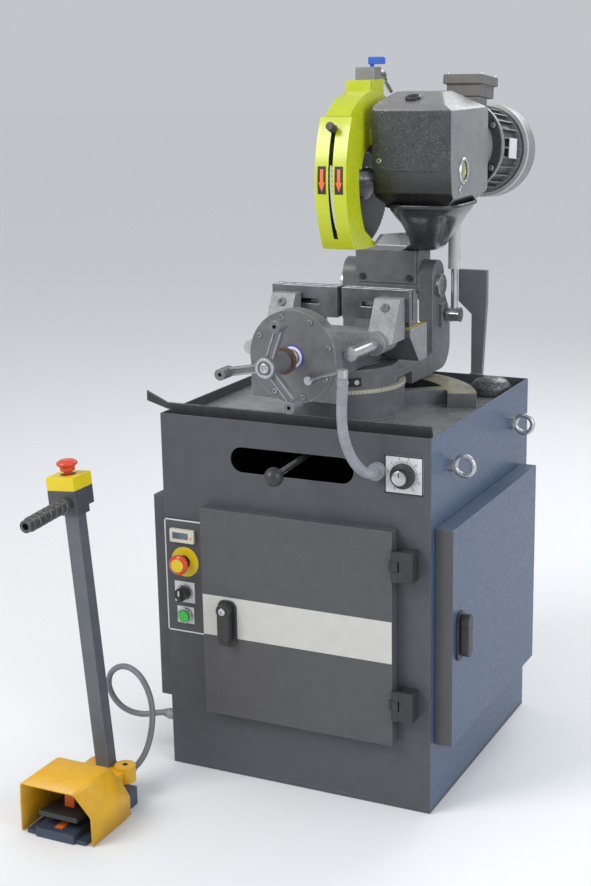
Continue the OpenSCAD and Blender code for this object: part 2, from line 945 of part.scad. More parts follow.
module hose_fittings() {
  color("lightgray") {
    difference() {
      bar_y(gland_r, [-half_d - gland_l, -half_d], gland_x, gland_z);
      bar_y(tube_r, [-half_d - gland_l - overrun, -half_d + overrun], gland_x, gland_z);
    }
    bar_x(cable_gland_r, [-half_w - cable_gland_l, -half_w], cable_y, cable_z);
    bar_y(elbow_r, [clamp_y[0] - elbow_l, clamp_y[0]], elbow_x, elbow_z);
    bar_z(hose_r, [hose_route[0].z, hose_route[0].z + cap_h], hose_route[0].x, hose_route[0].y);
    rod([elbow_x, clamp_y[0] - elbow_l / 2, elbow_z], hose_route[0] + [0, 0, cap_h * cap_share], tube_r);
  }
}
module vise_hose() {
  rings = hose_ribs * 2 + 1;
  sides = 8;
  share = [for (k = [0 : rings - 1]) k / (rings - 1)];
  place = [for (s = share) route_at(hose_route, s)];
  outer = [for (k = [0 : rings - 1]) each ring_points(
    place[k], heading(place, k), hose_r - (k % 2 == 0 ? hose_rib_h : 0), sides)];
  inner = [for (k = [0 : rings - 1]) each ring_points(place[k], heading(place, k), hose_bore_r, sides)];
  n = rings * sides;
  last = n - sides;
  skin = tube_faces(rings, sides);
  caps = [for (i = [0 : sides - 1]) let (j = (i + 1) % sides) each [
    [i, n + j, j], [i, n + i, n + j],
    [last + i, last + j, n + last + j], [last + i, n + last + j, n + last + i]
  ]];
  bore = [for (f = skin) [f[0] + n, f[2] + n, f[1] + n]];
  color("lightgray") polyhedron(concat(outer, inner), concat(skin, bore, caps));
}
module sweep(route, r, sides) {
  rings = len(route) * 2 - 1;
  place = [for (k = [0 : rings - 1]) route_at(route, k / (rings - 1))];
  points = [for (k = [0 : rings - 1]) each ring_points(place[k], heading(place, k), r, sides)];
  last = (rings - 1) * sides;
  ends = [for (i = [1 : sides - 2]) each [[0, i + 1, i], [last, last + i, last + i + 1]]];
  polyhedron(points, concat(tube_faces(rings, sides), ends));
}
module pedal_cable() {
  color("gray") sweep(cable_route, cable_r, 8);
}

// Turntable

module base_casting() {
  color([0.4, 0.41, 0.43]) difference() {
    union() {
      bar_z(swivel_base_r, [tray_z, base_top], 0, axis_y);
      bar_z(column_r - fit_gap, [base_top - overrun, bed_z], 0, axis_y);
      translate([0, axis_y, 0]) {
        slab_z([tray_z, tray_z + quadrant_h])
          sector(quadrant_in, quadrant_out, quadrant_from, quadrant_to);
        for (turn = [quadrant_from + web_w / 2, quadrant_to - web_w / 4]) rotate([0, 0, turn])
          span([swivel_base_r - web_w, -web_w / 2, tray_z],
               [quadrant_in + web_w / 2, web_w / 2, tray_z + quadrant_h]);
      }
    }
    bar_z(lock_r + fit_gap, [tray_z - overrun, base_top], 0, axis_y);
  }
}
module swivel_yoke() {
  color([0.36, 0.37, 0.39]) {
    difference() {
      union() {
        bar_z(ring_r, [ring_z, ring_top], 0, axis_y);
        span([-yoke_x, axis_y, arm_z], [yoke_x, cheek_back, arm_z + slab_h]);
      }
      bar_z(column_r, [ring_z - overrun, ring_top + overrun], 0, axis_y);
    }
    difference() {
      for (side = [0, 1]) mirror([side, 0, 0]) {
        span([cheek_x, cheek_y, arm_z], [yoke_x, cheek_back, cheek_round_z]);
        bar_x(cheek_d / 2, [cheek_x, yoke_x], pivot_y, cheek_round_z);
        slab_x([cheek_x, yoke_x]) {
          polygon([
            [heel_front, heel_low], [heel_mid[0], heel_low], [heel_back, heel_mid[1]],
            [heel_back, heel_top[0]], [cheek_back - overrun, heel_top[1]], [cheek_y, heel_top[1]],
            [cheek_y, arm_z + overrun], [heel_front, arm_z + overrun]
          ]);
          translate(heel_mid) circle(heel_r);
        }
      }
      bar_x(pivot_r + fit_gap, [-yoke_x - overrun, yoke_x + overrun], pivot_y, pivot_z);
    }
    span([yoke_x - overrun, ram_y - ram_lug_w, ram_low_z - ram_lug_w],
         [ram_lug_x, cheek_back, ram_low_z + ram_lug_w]);
    bar_x(ram_pin_r, [ram_lug_x - overrun, ram_x[1] + free_gap], ram_y, ram_low_z);
  }
}
module pivot_pin() {
  color("silver") {
    bar_x(pivot_r, [-yoke_x - pin_head_t, yoke_x + pin_head_t], pivot_y, pivot_z);
    for (side = [0, 1]) mirror([side, 0, 0])
      bar_x(pin_head_r, [yoke_x, yoke_x + pin_head_t], pivot_y, pivot_z);
  }
}
module lock_lever() {
  color([0.2, 0.2, 0.2]) translate([0, axis_y, lever_z]) rotate([0, 0, lever_turn]) {
    bar_z(lever_hub_r, [-lever_hub_h / 2, lever_hub_h / 2], 0, 0);
    bar_z(lock_r, [0, base_top - lever_z - free_gap], 0, 0);
    bar_y(lever_r, [-lever_l, 0], 0, 0);
    translate([0, -lever_l, 0]) sphere(lever_ball_r);
  }
}
module ram_barrel() {
  mid = (ram_x[0] + ram_x[1]) / 2;
  low = ram_top_z - ram_eye_r - ram_body_l;
  color("gainsboro") difference() {
    union() {
      bar_x(ram_eye_r, ram_x, ram_y, ram_top_z);
      bar_z(ram_r, [low, ram_top_z], mid, ram_y);
    }
    bar_x(ram_pin_r + ram_open, [ram_x[0] - overrun, ram_x[1] + overrun], ram_y, ram_top_z);
    bar_z(ram_rod_r + fit_gap, [low - overrun, ram_rod_top + ram_rod_r], mid, ram_y);
  }
}
module ram_rod() {
  mid = (ram_x[0] + ram_x[1]) / 2;
  color("silver") difference() {
    union() {
      bar_x(ram_eye_r, ram_x, ram_y, ram_low_z);
      bar_z(ram_rod_r, [ram_low_z, ram_rod_top], mid, ram_y);
    }
    bar_x(ram_pin_r + fit_gap, [ram_x[0] - overrun, ram_x[1] + overrun], ram_y, ram_low_z);
  }
}
module hose_post() {
  q = stand_shares;
  y = [stand_y, stand_y + stand_t];
  color([0.45, 0.46, 0.48]) {
    span([stand_x[1] - stand_w * q[0], half_d, stand_z[0]],
         [stand_x[1] - stand_w / 2, y[0] + overrun, cab_h]);
    slab_y(y) polygon([
      [stand_x[0], stand_z[1]], [stand_x[1], stand_z[1]], [stand_x[1], stand_z[1] - stand_plate_h],
      [stand_x[1] - stand_w / 2, stand_z[0]], [stand_x[1] - stand_w * q[0], stand_z[0]],
      [stand_x[1] - stand_w * q[0], stand_z[1] - stand_plate_h * q[1]],
      [stand_x[0], stand_z[1] - stand_plate_h]
    ]);
  }
}

// Vise

module vise_body() {
  color([0.42, 0.43, 0.45]) difference() {
    union() {
      span([-bed_half, clamp_y[1], bed_z], [bed_half, wing_y[1], bed_top]);
      for (side = [0, 1]) mirror([side, 0, 0]) {
        span([0, wing_foot_y, bed_z], [wing_x[0] + overrun, wing_y[1], bed_top]);
        slab_x(wing_x) polygon([
          [wing_foot_y, bed_z], [wing_y[1], bed_z], [wing_y[1], wing_top], [wing_y[0], wing_top],
          [wing_y[0], wing_top - wing_lip]
        ]);
        span([post_x[0], rear_back, wing_top - overrun], [post_x[1], post_back, post_top]);
      }
    }
    for (x = [-guide_x, guide_x])
      bar_y(guide_r + fit_gap, [wing_y[0] - overrun, wing_y[1] + overrun], x, guide_z);
  }
}
module vise_cylinder() {
  color([0.45, 0.46, 0.48]) difference() {
    union() {
      bar_y(clamp_r, clamp_y, 0, vise_z);
      span([-clamp_r, clamp_y[0] + sheet_t, skirt_z], [clamp_r, clamp_y[1], vise_z]);
    }
    bar_y(screw_r + fit_gap, [clamp_y[0] - overrun, clamp_y[1] + overrun], 0, vise_z);
  }
}
module jaw_carriage() {
  color([0.45, 0.46, 0.47]) {
    difference() {
      union() {
        span([-guide_x, beam_y[0], beam_z[0]], [guide_x, beam_y[1], beam_z[1]]);
        for (x = [-guide_x, guide_x])
          bar_y(boss_r, [beam_y[0] - boss_r / 2, beam_y[1]], x, guide_z);
        for (side = [0, 1]) mirror([side, 0, 0])
          slab_x(bracket_x) polygon([
            [jaw_front, guide_z], [jaw_front, bracket_top], [jaw_front - bracket_t, bracket_top],
            [jaw_front - bracket_foot, guide_z]
          ]);
      }
      bar_y(screw_r + fit_gap, [beam_y[0] - overrun, beam_y[1] + overrun], 0, vise_z);
    }
    for (x = [-guide_x, guide_x])
      bar_y(guide_r, guide_y, x, guide_z);
  }
}
module jaw_plate(y, side) {
  from = blade_gap / 2;
  color([0.5, 0.51, 0.53]) mirror([side, 0, 0]) slab_y([y, y + jaw_t]) difference() {
    rect([from, jaw_z], [from + jaw_l, jaw_top]);
    translate([from + jaw_slot_in, (jaw_z + jaw_top) / 2 - jaw_slot_h / 2]) square([jaw_slot_l, jaw_slot_h]);
  }
}
module front_jaw_left() {
  jaw_plate(jaw_front, 1);
}
module front_jaw_right() {
  jaw_plate(jaw_front, 0);
}
module rear_jaw_left() {
  jaw_plate(rear_jaw_y, 1);
}
module rear_jaw_right() {
  jaw_plate(rear_jaw_y, 0);
}
module vise_screw() {
  color("silver") {
    bar_y(screw_r, screw_y, 0, vise_z);
    bar_y(collar_r, collar_y, 0, vise_z);
  }
}
module handwheel() {
  color([0.35, 0.36, 0.37]) difference() {
    translate([0, 0, vise_z]) {
      bar_y(hub_r, hub_y, 0, 0);
      for (turn = arm_turns) rotate([0, -turn, 0]) {
        span([screw_r + overrun, hub_y[0] + arm_t / 2, -arm_w / 2],
             [arm_l, hub_y[0] + arm_t / 2 + arm_t, arm_w / 2]);
        difference() {
          bar_y(boss_end_r, [hub_y[0] - boss_out, hub_y[0] - boss_out + boss_end_l], arm_l, 0);
          bar_y(boss_hole_r, [hub_y[0] - boss_out - overrun, hub_y[0] - boss_out + boss_hole_d], arm_l, 0);
        }
      }
    }
    bar_y(screw_r + fit_gap, [screw_y[0] - fit_gap, hub_y[1] + overrun], 0, vise_z);
  }
}

// Saw head

module in_head() {
  translate([0, spin_y, spin_z]) rotate([-head_lean, 0, 0]) children();
}
module head_arm() {
  color([0.33, 0.34, 0.36]) difference() {
    union() {
      bar_x(arm_r, [-arm_half, arm_half], pivot_y, pivot_z);
      span([-arm_half, cheek_y, pivot_z], [arm_half, cheek_back, arm_top]);
      span([-arm_half + arm_cover_in, cheek_y - arm_cover_t, pivot_z + arm_cover_in],
           [arm_half - arm_cover_in, cheek_y + overrun, arm_top]);
    }
    bar_x(pivot_r + fit_gap, [-arm_half - overrun, arm_half + overrun], pivot_y, pivot_z);
  }
}
module gear_form(inset) {
  f = gear_front + inset;
  b = gear_back - inset;
  l = gear_low + inset;
  t = gear_top - inset;
  w = [gear_x + inset, gear_right - inset];
  d = gear_in;
  u = gear_up;
  intersection() {
    slab_x(w) polygon([
      [f, l + u[0]], [f, t - u[1]], [f + d[0], t - u[2]], [f + d[1], t], [f + d[2], t], [b, t - u[3]],
      [b, l + u[4]], [b - d[3], l], [f + d[4], l], [f + d[5], l + u[5]]
    ]);
    slab_y([f - overrun, b + overrun]) polygon([
      [w[0], l + gear_low_cut], [w[0] + gear_low_cut, l], [w[1] - gear_low_cut, l], [w[1], l + gear_low_cut],
      [w[1], t - gear_right_cut[1]], [w[1] - gear_right_cut[0], t],
      [w[0] + gear_left_cut[0], t], [w[0], t - gear_left_cut[1]]
    ]);
  }
}
module neck_slice(i) {
  bar_z(neck_r[i], [neck_z[i] - slice, neck_z[i]], neck_x[i], neck_y[i], $fn = 32);
}
module head_neck() {
  color([0.2, 0.2, 0.21]) {
    hull() {
      span([neck_foot_x[0], neck_foot_y[0], arm_top], [neck_foot_x[1], neck_foot_y[1], arm_top + slice]);
      neck_slice(0);
    }
    hull() {
      neck_slice(0);
      neck_slice(1);
    }
    hull() {
      neck_slice(1);
      neck_slice(2);
      neck_slice(3);
    }
    slab_x(link_x) polygon([for (i = [0 : len(link_y) - 1]) [link_y[i], arm_top + link_up[i]]]);
    span([link_x[1] - overrun, link_boss_y[0], arm_top + link_boss_up[0]],
         [link_boss_x, link_boss_y[1], arm_top + link_boss_up[1]]);
  }
}
module gearbox() {
  well_r = wheel_r + free_gap / 2;
  well = [motor_x - wheel_t / 2 - free_gap, motor_x + wheel_t / 2 + free_gap];
  color([0.22, 0.22, 0.23]) {
    difference() {
      union() {
        gear_form(0);
        in_head() {
          bar_y(adaptor_r, [adaptor_y, motor_y], motor_x, worm_rise);
          bar_y(end_plate_r, [motor_y - end_plate_t, motor_y], motor_x, worm_rise);
          bar_y(adaptor_core_r, [adaptor_y - adaptor_core_l, adaptor_y + overrun], motor_x, worm_rise);
          span([pad_x[0], pad_y[0], worm_rise], [pad_x[1], pad_y[1], pad_z]);
        }
        slab_x([ram_lug_x - ear_t, ram_lug_x])
          polygon([for (i = [0 : len(ear_y) - 1]) [ear_y[i], ram_top_z + ear_up[i]]]);
      }
      gear_form(gear_wall);
      bar_x(spindle_r + fit_gap, [gear_x - overrun, gear_right - gear_wall / 2], spin_y, spin_z);
      bar_x(well_r, well, spin_y, spin_z);
      in_head() bar_y(shaft_r + fit_gap, [-wheel_r, motor_y + overrun], motor_x, worm_rise);
    }
    bar_x(ram_pin_r, [ram_lug_x - overrun, ram_x[1] + free_gap], ram_y, ram_top_z);
  }
}
module spindle() {
  right = gear_right - gear_wall / 2 - free_gap;
  color("silver") {
    bar_x(spindle_r, [-blade_t / 2 - flange_t, right], spin_y, spin_z);
    bar_x(flange_r, [blade_t / 2, blade_t / 2 + flange_t], spin_y, spin_z);
    bar_x(flange_r, [-blade_t / 2 - flange_t, -blade_t / 2], spin_y, spin_z);
  }
}
module worm_wheel() {
  color("goldenrod") difference() {
    bar_x(wheel_r, [motor_x - wheel_t / 2, motor_x + wheel_t / 2], spin_y, spin_z);
    bar_x(spindle_r, [motor_x - wheel_t, motor_x + wheel_t], spin_y, spin_z);
  }
}
module blade() {
  step = 360 / blade_teeth;
  color("lightsteelblue") difference() {
    slab_x([-blade_t / 2, blade_t / 2]) translate([spin_y, spin_z]) polygon([
      for (i = [0 : blade_teeth - 1]) each [
        blade_r * [cos(i * step), sin(i * step)],
        (blade_r - tooth_h) * [cos((i + gullet_share) * step), sin((i + gullet_share) * step)]
      ]
    ]);
    bar_x(spindle_r, [-blade_t, blade_t], spin_y, spin_z);
  }
}
module motor_body() {
  rear = motor_y + motor_l - cowl_l;
  color([0.3, 0.3, 0.31]) in_head() difference() {
    union() {
      bar_y(motor_r - fin_h, [motor_y, rear], motor_x, worm_rise);
      bar_y(motor_r, [motor_y, motor_y + shield_l], motor_x, worm_rise);
      bar_y(motor_r, [rear - shield_l, rear], motor_x, worm_rise);
      for (i = [0 : fin_count - 1])
        translate([motor_x, 0, worm_rise]) rotate([0, 360 * i / fin_count, 0])
          span([motor_r - fin_h - overrun, motor_y + shield_l - overrun, -fin_t / 2],
               [motor_r - overrun / 2, rear - shield_l + overrun, fin_t / 2]);
    }
    bar_y(shaft_r + fit_gap, [motor_y - overrun, rear + overrun], motor_x, worm_rise);
    bar_y(rotor_r + rotor_gap, [motor_y + rotor_in, motor_y + rotor_in + rotor_l], motor_x, worm_rise);
  }
}
module fan_cowl() {
  rear = motor_y + motor_l;
  color([0.32, 0.32, 0.33]) in_head() difference() {
    bar_y(cowl_r, [rear - cowl_l, rear], motor_x, worm_rise);
    bar_y(cowl_r - cowl_t, [rear - cowl_l + cowl_t, rear - cowl_t], motor_x, worm_rise);
    bar_y(shaft_r + free_gap, [rear - cowl_l - overrun, rear - cowl_l / 2], motor_x, worm_rise);
  }
}
module motor_shaft() {
  fan_y = motor_y + motor_l - cowl_l / 2;
  rotor_y = motor_y + rotor_in;
  color("silver") in_head() {
    bar_y(shaft_r, [-wheel_r, fan_y + fan_t], motor_x, worm_rise);
    bar_y(worm_r, [-wheel_r, wheel_r], motor_x, worm_rise);
    bar_y(rotor_r, [rotor_y + free_gap, rotor_y + rotor_l - free_gap], motor_x, worm_rise);
    bar_y(fan_hub_r, [fan_y, fan_y + fan_t], motor_x, worm_rise);
    bar_y(fan_r, [fan_y, fan_y + fan_t / 4], motor_x, worm_rise);
  }
}
module terminal_box() {
  low = pad_z + term_h;
  over = term_lid_over;
  color([0.3, 0.3, 0.31]) in_head() {
    span([term_x[0], term_y[0], pad_z], [term_x[1], term_y[1], low]);
    span([term_x[0] - over, term_y[0] - over, low - overrun],
         [term_x[1] + over, term_y[1] + over, low + term_lid_h]);
  }
}
module blade_guard() {
  color([0.72, 0.78, 0.1]) {
    difference() {
      union() {
        slab_x([-guard_half, guard_half]) translate([spin_y, spin_z]) {
          sector(guard_hole_r, guard_r, guard_from, guard_rim_to);
          sector(guard_hole_r, guard_side_r, guard_rim_to - overrun, guard_side_to);
          sector(guard_hole_r, guard_tail_r, guard_side_to - overrun, guard_tail_to);
        }
        slab_x([-guard_half, -guard_half + guard_wall]) translate([spin_y, spin_z])
          sector(guard_hole_r, guard_back_r, guard_back_from, guard_from + overrun);
        span([-guard_half, guard_block_y[0], spin_z + guard_in], [guard_half, guard_block_y[1], guard_top]);
      }
      slab_x([-guard_half + guard_wall, guard_half - guard_wall])
        translate([spin_y, spin_z]) circle(guard_in);
    }
    span([guard_half, guard_foot_y[0], guard_foot_z[0]], [gear_x, guard_foot_y[1], guard_foot_z[1]]);
  }
}
module guard_cover() {
  depth = cover_r - cover_depth;
  from = [cos(cover_to), sin(cover_to)];
  color([0.72, 0.78, 0.1]) translate([0, cover_y, cover_z]) difference() {
    slab_x([-cover_half, cover_half]) {
      sector(depth, cover_r, cover_from, cover_to);
      polygon([
        depth * from, cover_r * from + [cover_wall, 0],
        [flare_y[0] - cover_y, flare_z - cover_z], [flare_y[1] - cover_y, flare_z - cover_z]
      ]);
    }
    slab_x([-cover_half + cover_wall, cover_half - cover_wall]) circle(cover_r - cover_wall);
    slab_x([-cover_slot_w / 2, cover_slot_w / 2])
      sector(depth, cover_r + overrun, cover_slot_from, cover_slot_to);
  }
}
module guard_knob() {
  place = cover_r * [cos(knob_turn), sin(knob_turn)];
  inner = guard_half - guard_wall;
  centre = [0, cover_y + place[0], cover_z + place[1]];
  color([0.15, 0.15, 0.15]) translate(centre) rotate([knob_turn, 0, 0]) {
    bar_y(knob_r, [free_gap, knob_l], 0, 0);
    bar_y(knob_stem_r, [-knob_bar_in, free_gap + overrun], 0, 0);
    bar_x(knob_bar_r, [-inner, inner], -knob_bar_in, 0);
  }
}
module coolant_block() {
  top = guard_top + coolant_h;
  color([0.5, 0.5, 0.52]) {
    difference() {
      span([-coolant_x, coolant_y[0], guard_top], [coolant_x, coolant_y[1], top]);
      bar_z(valve_stem_r + fit_gap, [guard_top + coolant_h / 2, top + overrun], valve_x, valve_y);
    }
    bar_y(barb_r, [coolant_y[1], coolant_y[1] + barb_l], coolant_x - barb_r, guard_top + coolant_h / 2);
  }
}
module valve_lever() {
  top = guard_top + coolant_h;
  color("royalblue") {
    bar_z(valve_stem_r, [guard_top + coolant_h / 2 + overrun, top + valve_stem_h], valve_x, valve_y);
    span([valve_x - valve_w / 2, valve_y - valve_w / 2, top + valve_stem_h - overrun],
         [valve_x + valve_l, valve_y + valve_w / 2, top + valve_stem_h + valve_h]);
  }
}

// Pedal stand

module hood_section(i, inset, y) {
  wide = hood_half[i] - inset;
  narrow = hood_top_half[i] - inset / 2;
  slab_y([y, y + slice]) translate([pedal_x, 0]) polygon([
    [-wide, -inset], [-wide, hood_knee_z[i]], [-narrow, hood_top_z[i] - inset],
    [narrow, hood_top_z[i] - inset], [wide, hood_knee_z[i]], [wide, -inset]
  ]);
}
module hood_roof(inset) {
  half = hood_top_half[0] - inset / 2;
  top = hood_top_z[0] - inset;
  span([pedal_x - half, pedal_y - hood_over - inset, top - slice], [pedal_x + half, pedal_y, top]);
}
module pedal_base() {
  color([0.12, 0.15, 0.22]) difference() {
    union() {
      span([pedal_x - foot_w / 2, foot_front, 0], [pedal_x + foot_w / 2, foot_back, foot_h]);
      span([pedal_x - treadle_w / 2, rest_y[0], 0], [pedal_x + treadle_w / 2, rest_y[1], rest_h]);
      span([pedal_x - foot_w / 2, hood_back, 0], [pedal_x + foot_w / 2, foot_back, block_h]);
      for (x = [pedal_x - lug_reach, pedal_x + lug_reach - lug_w])
        span([x, treadle_y[1] - lug_w, 0], [x + lug_w, hood_back + overrun, block_h]);
      for (x = [pedal_x - lug_reach, pedal_x + lug_reach - lug_w])
        span([x, treadle_y[1] - lug_w, 0], [x + lug_w, hood_back, lug_top]);
    }
    bar_x(treadle_pin_r + fit_gap, [pedal_x - foot_w, pedal_x + foot_w], treadle_y[1], treadle_z);
  }
}
module pedal_hood() {
  color("gold") difference() {
    hull() {
      hood_roof(0);
      hood_section(0, 0, pedal_y);
      hood_section(0, 0, hood_mid);
      hood_section(1, 0, hood_back - slice);
    }
    hull() {
      hood_roof(hood_t);
      hood_section(0, hood_t, pedal_y - hood_t);
      hood_section(0, hood_t, hood_mid);
      hood_section(1, hood_t, hood_back - hood_t - slice);
    }
    span([pedal_x - foot_w / 2 - run_gap, hood_back - hood_t * 2, -overrun],
         [pedal_x + foot_w / 2 + run_gap, hood_back + overrun, lug_top + run_gap]);
  }
}
module pedal_housing() {
  color("gold") {
    span([house_x[0], hood_back, block_h], [house_x[1], house_back, house_top]);
    bar_z(boss_out_r, [block_h, boss_top], boss_x, boss_y);
  }
}
module pedal_treadle() {
  color([0.1, 0.1, 0.1]) translate([pedal_x, treadle_y[1], treadle_z]) rotate([treadle_tilt, 0, 0]) {
    l = treadle_y[1] - treadle_y[0];
    span([-treadle_w / 2, -l, -treadle_t / 2], [treadle_w / 2, treadle_pin_r, treadle_t / 2]);
    bar_x(treadle_pin_r, [-treadle_w / 2 - lug_w, treadle_w / 2 + lug_w], 0, 0);
    span([-latch_w / 2, -l * latch_share, treadle_t / 2 - overrun],
         [latch_w / 2, -l * latch_share + latch_t, latch_h]);
  }
}
module on_post() {
  translate([post_x0, post_y0, post_z0]) rotate([0, -post_lean, 0]) children();
}
module pedal_column() {
  half = post_w / 2;
  color([0.3, 0.33, 0.38]) difference() {
    on_post() difference() {
      span([-half, -half, -post_foot_l], [half, half, post_l]);
      span([-half + post_wall, -half + post_wall, -post_foot_l - overrun],
           [half - post_wall, half - post_wall, post_l - post_wall]);
    }
    span([post_x0 - post_w, post_y0 - post_w, 0], [post_x0 + post_w, post_y0 + post_w, house_top]);
  }
}
module stop_box() {
  half = box_w / 2;
  low = post_l;
  top = low + neck_box_h + box_h;
  color([0.25, 0.26, 0.28]) on_post() difference() {
    union() {
      span([-neck_box_w / 2, -neck_box_w / 2, low], [neck_box_w / 2, neck_box_w / 2, low + neck_box_h]);
      span([box_off - half, -half, low + neck_box_h], [box_off + half, half, low + neck_box_h + box_h]);
    }
    bar_z(stop_stem_r + fit_gap, [top - box_h + box_h / 4, top + overrun], box_off, 0);
  }
}
module stop_box_lid() {
  half = box_w / 2;
  low = post_l + neck_box_h + box_h;
  color("gold") on_post() difference() {
    span([box_off - half, -half, low], [box_off + half, half, low + box_lid_h]);
    bar_z(stop_stem_r + fit_gap, [low - overrun, low + box_lid_h + overrun], box_off, 0);
  }
}
module column_stop() {
  low = post_l + neck_box_h + box_h + box_lid_h + post_stop_clear;
  color("red") on_post() translate([box_off, 0, 0]) {
    translate([0, 0, low]) rotate_extrude() stop_mushroom();
    bar_z(stop_stem_r, [low - stem_l - post_stop_clear, low + overrun], 0, 0);
  }
}
module column_grip() {
  low = post_l + neck_box_h + grip_in;
  half = box_w / 2;
  pitch = grip_l / (grip_ribs + 1);
  color([0.08, 0.08, 0.08]) on_post() difference() {
    translate([grip_x, -half + free_gap, low]) rotate([grip_drop, 0, 0]) difference() {
      union() {
        bar_y(grip_r, [-grip_l, 0], 0, 0);
        for (i = [1 : grip_ribs])
          bar_y(grip_r + grip_rib_h, [-i * pitch - pitch / 4, -i * pitch + pitch / 4], 0, 0);
      }
      bar_y(grip_bore_r, [-grip_l - overrun, -grip_l + grip_bore_l], 0, 0);
    }
    span([box_off - half, -half, low - box_h], [box_off + half, half, low + box_h]);
  }
}

base_plate();
front_panel();
cabinet_shell();
chip_tray();
tray_lip();
strainer();
left_cover();
eyebolts();
control_panel();
hose_fittings();
base_casting();
vise_body();
vise_cylinder();
vise_hose();
hose_post();
pedal_base();
pedal_hood();
pedal_housing();
pedal_column();
stop_box();
stop_box_lid();
column_grip();
pedal_cable();
swivel_yoke();
pivot_pin();
lock_lever();
ram_barrel();
ram_rod();
head_arm();
head_neck();
gearbox();
motor_body();
fan_cowl();
terminal_box();
blade_guard();
coolant_block();
guard_cover();
guard_knob();
blade();
spindle();
worm_wheel();
motor_shaft();
valve_lever();
jaw_carriage();
front_jaw_left();
front_jaw_right();
rear_jaw_left();
rear_jaw_right();
vise_screw();
handwheel();
front_door();
front_door_handle();
right_door();
right_door_handle();
panel_stop();
mode_selector();
start_button();
feed_dial();
pedal_treadle();
column_stop();
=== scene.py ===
import math

import bmesh
import bpy
from mathutils import Matrix, Vector


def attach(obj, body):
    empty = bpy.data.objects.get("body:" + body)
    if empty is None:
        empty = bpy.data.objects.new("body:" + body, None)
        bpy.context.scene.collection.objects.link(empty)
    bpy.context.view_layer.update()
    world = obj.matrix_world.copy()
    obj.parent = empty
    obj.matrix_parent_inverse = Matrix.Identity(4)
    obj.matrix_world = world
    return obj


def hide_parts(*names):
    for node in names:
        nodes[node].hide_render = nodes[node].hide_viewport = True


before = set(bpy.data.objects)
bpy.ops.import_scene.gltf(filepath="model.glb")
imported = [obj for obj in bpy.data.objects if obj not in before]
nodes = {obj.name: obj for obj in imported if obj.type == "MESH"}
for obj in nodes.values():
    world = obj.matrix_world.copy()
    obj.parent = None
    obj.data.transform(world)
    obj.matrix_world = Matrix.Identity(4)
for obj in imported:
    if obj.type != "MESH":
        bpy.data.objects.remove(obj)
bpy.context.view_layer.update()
scene = bpy.context.scene
mm = 0.001
print("frame loaded:", len(nodes), "nodes")


# Camera, from the straight edges of the cabinet in the photograph
camera = {"place": (1217.76, -2716.46, 1381.15), "yaw": 26.31, "pitch": 14.28, "roll": -1.11, "lens": 62.54,
          "sensor": 36, "clip": (0.05, 50)}


def addCamera(c):
    yaw, pitch, roll = (math.radians(c[k]) for k in ("yaw", "pitch", "roll"))
    back = Vector((math.sin(yaw) * math.cos(pitch), -math.cos(yaw) * math.cos(pitch), math.sin(pitch)))
    right = Vector((math.cos(yaw), math.sin(yaw), 0))
    up = right.cross(-back)
    side = right * math.cos(roll) + up * math.sin(roll)
    top = up * math.cos(roll) - right * math.sin(roll)
    data = bpy.data.cameras.new("camera")
    data.lens, data.sensor_width = c["lens"], c["sensor"]
    data.clip_start, data.clip_end = c["clip"]
    obj = bpy.data.objects.new("camera", data)
    scene.collection.objects.link(obj)
    turn = Matrix((side, top, back)).transposed().to_4x4()
    obj.matrix_world = Matrix.Translation(Vector(c["place"]) * mm) @ turn
    scene.camera = obj


addCamera(camera)


# Node materials. Coordinates are the frame's own metres, so a scale of 500 is a 2 mm grain.
# edge mask for worn edges and for painted highlights on edges
edgeWearAndHighlight = {"radius": 1.6, "turn": (0.86, 0.99), "patches": 90, "share": (0.15, 1), "from": (0.35, 0.6)}
soft = {"speck": 0.06, "hole": 0.08, "coat": 0.15}  # widths of a change, and the coat's roughness


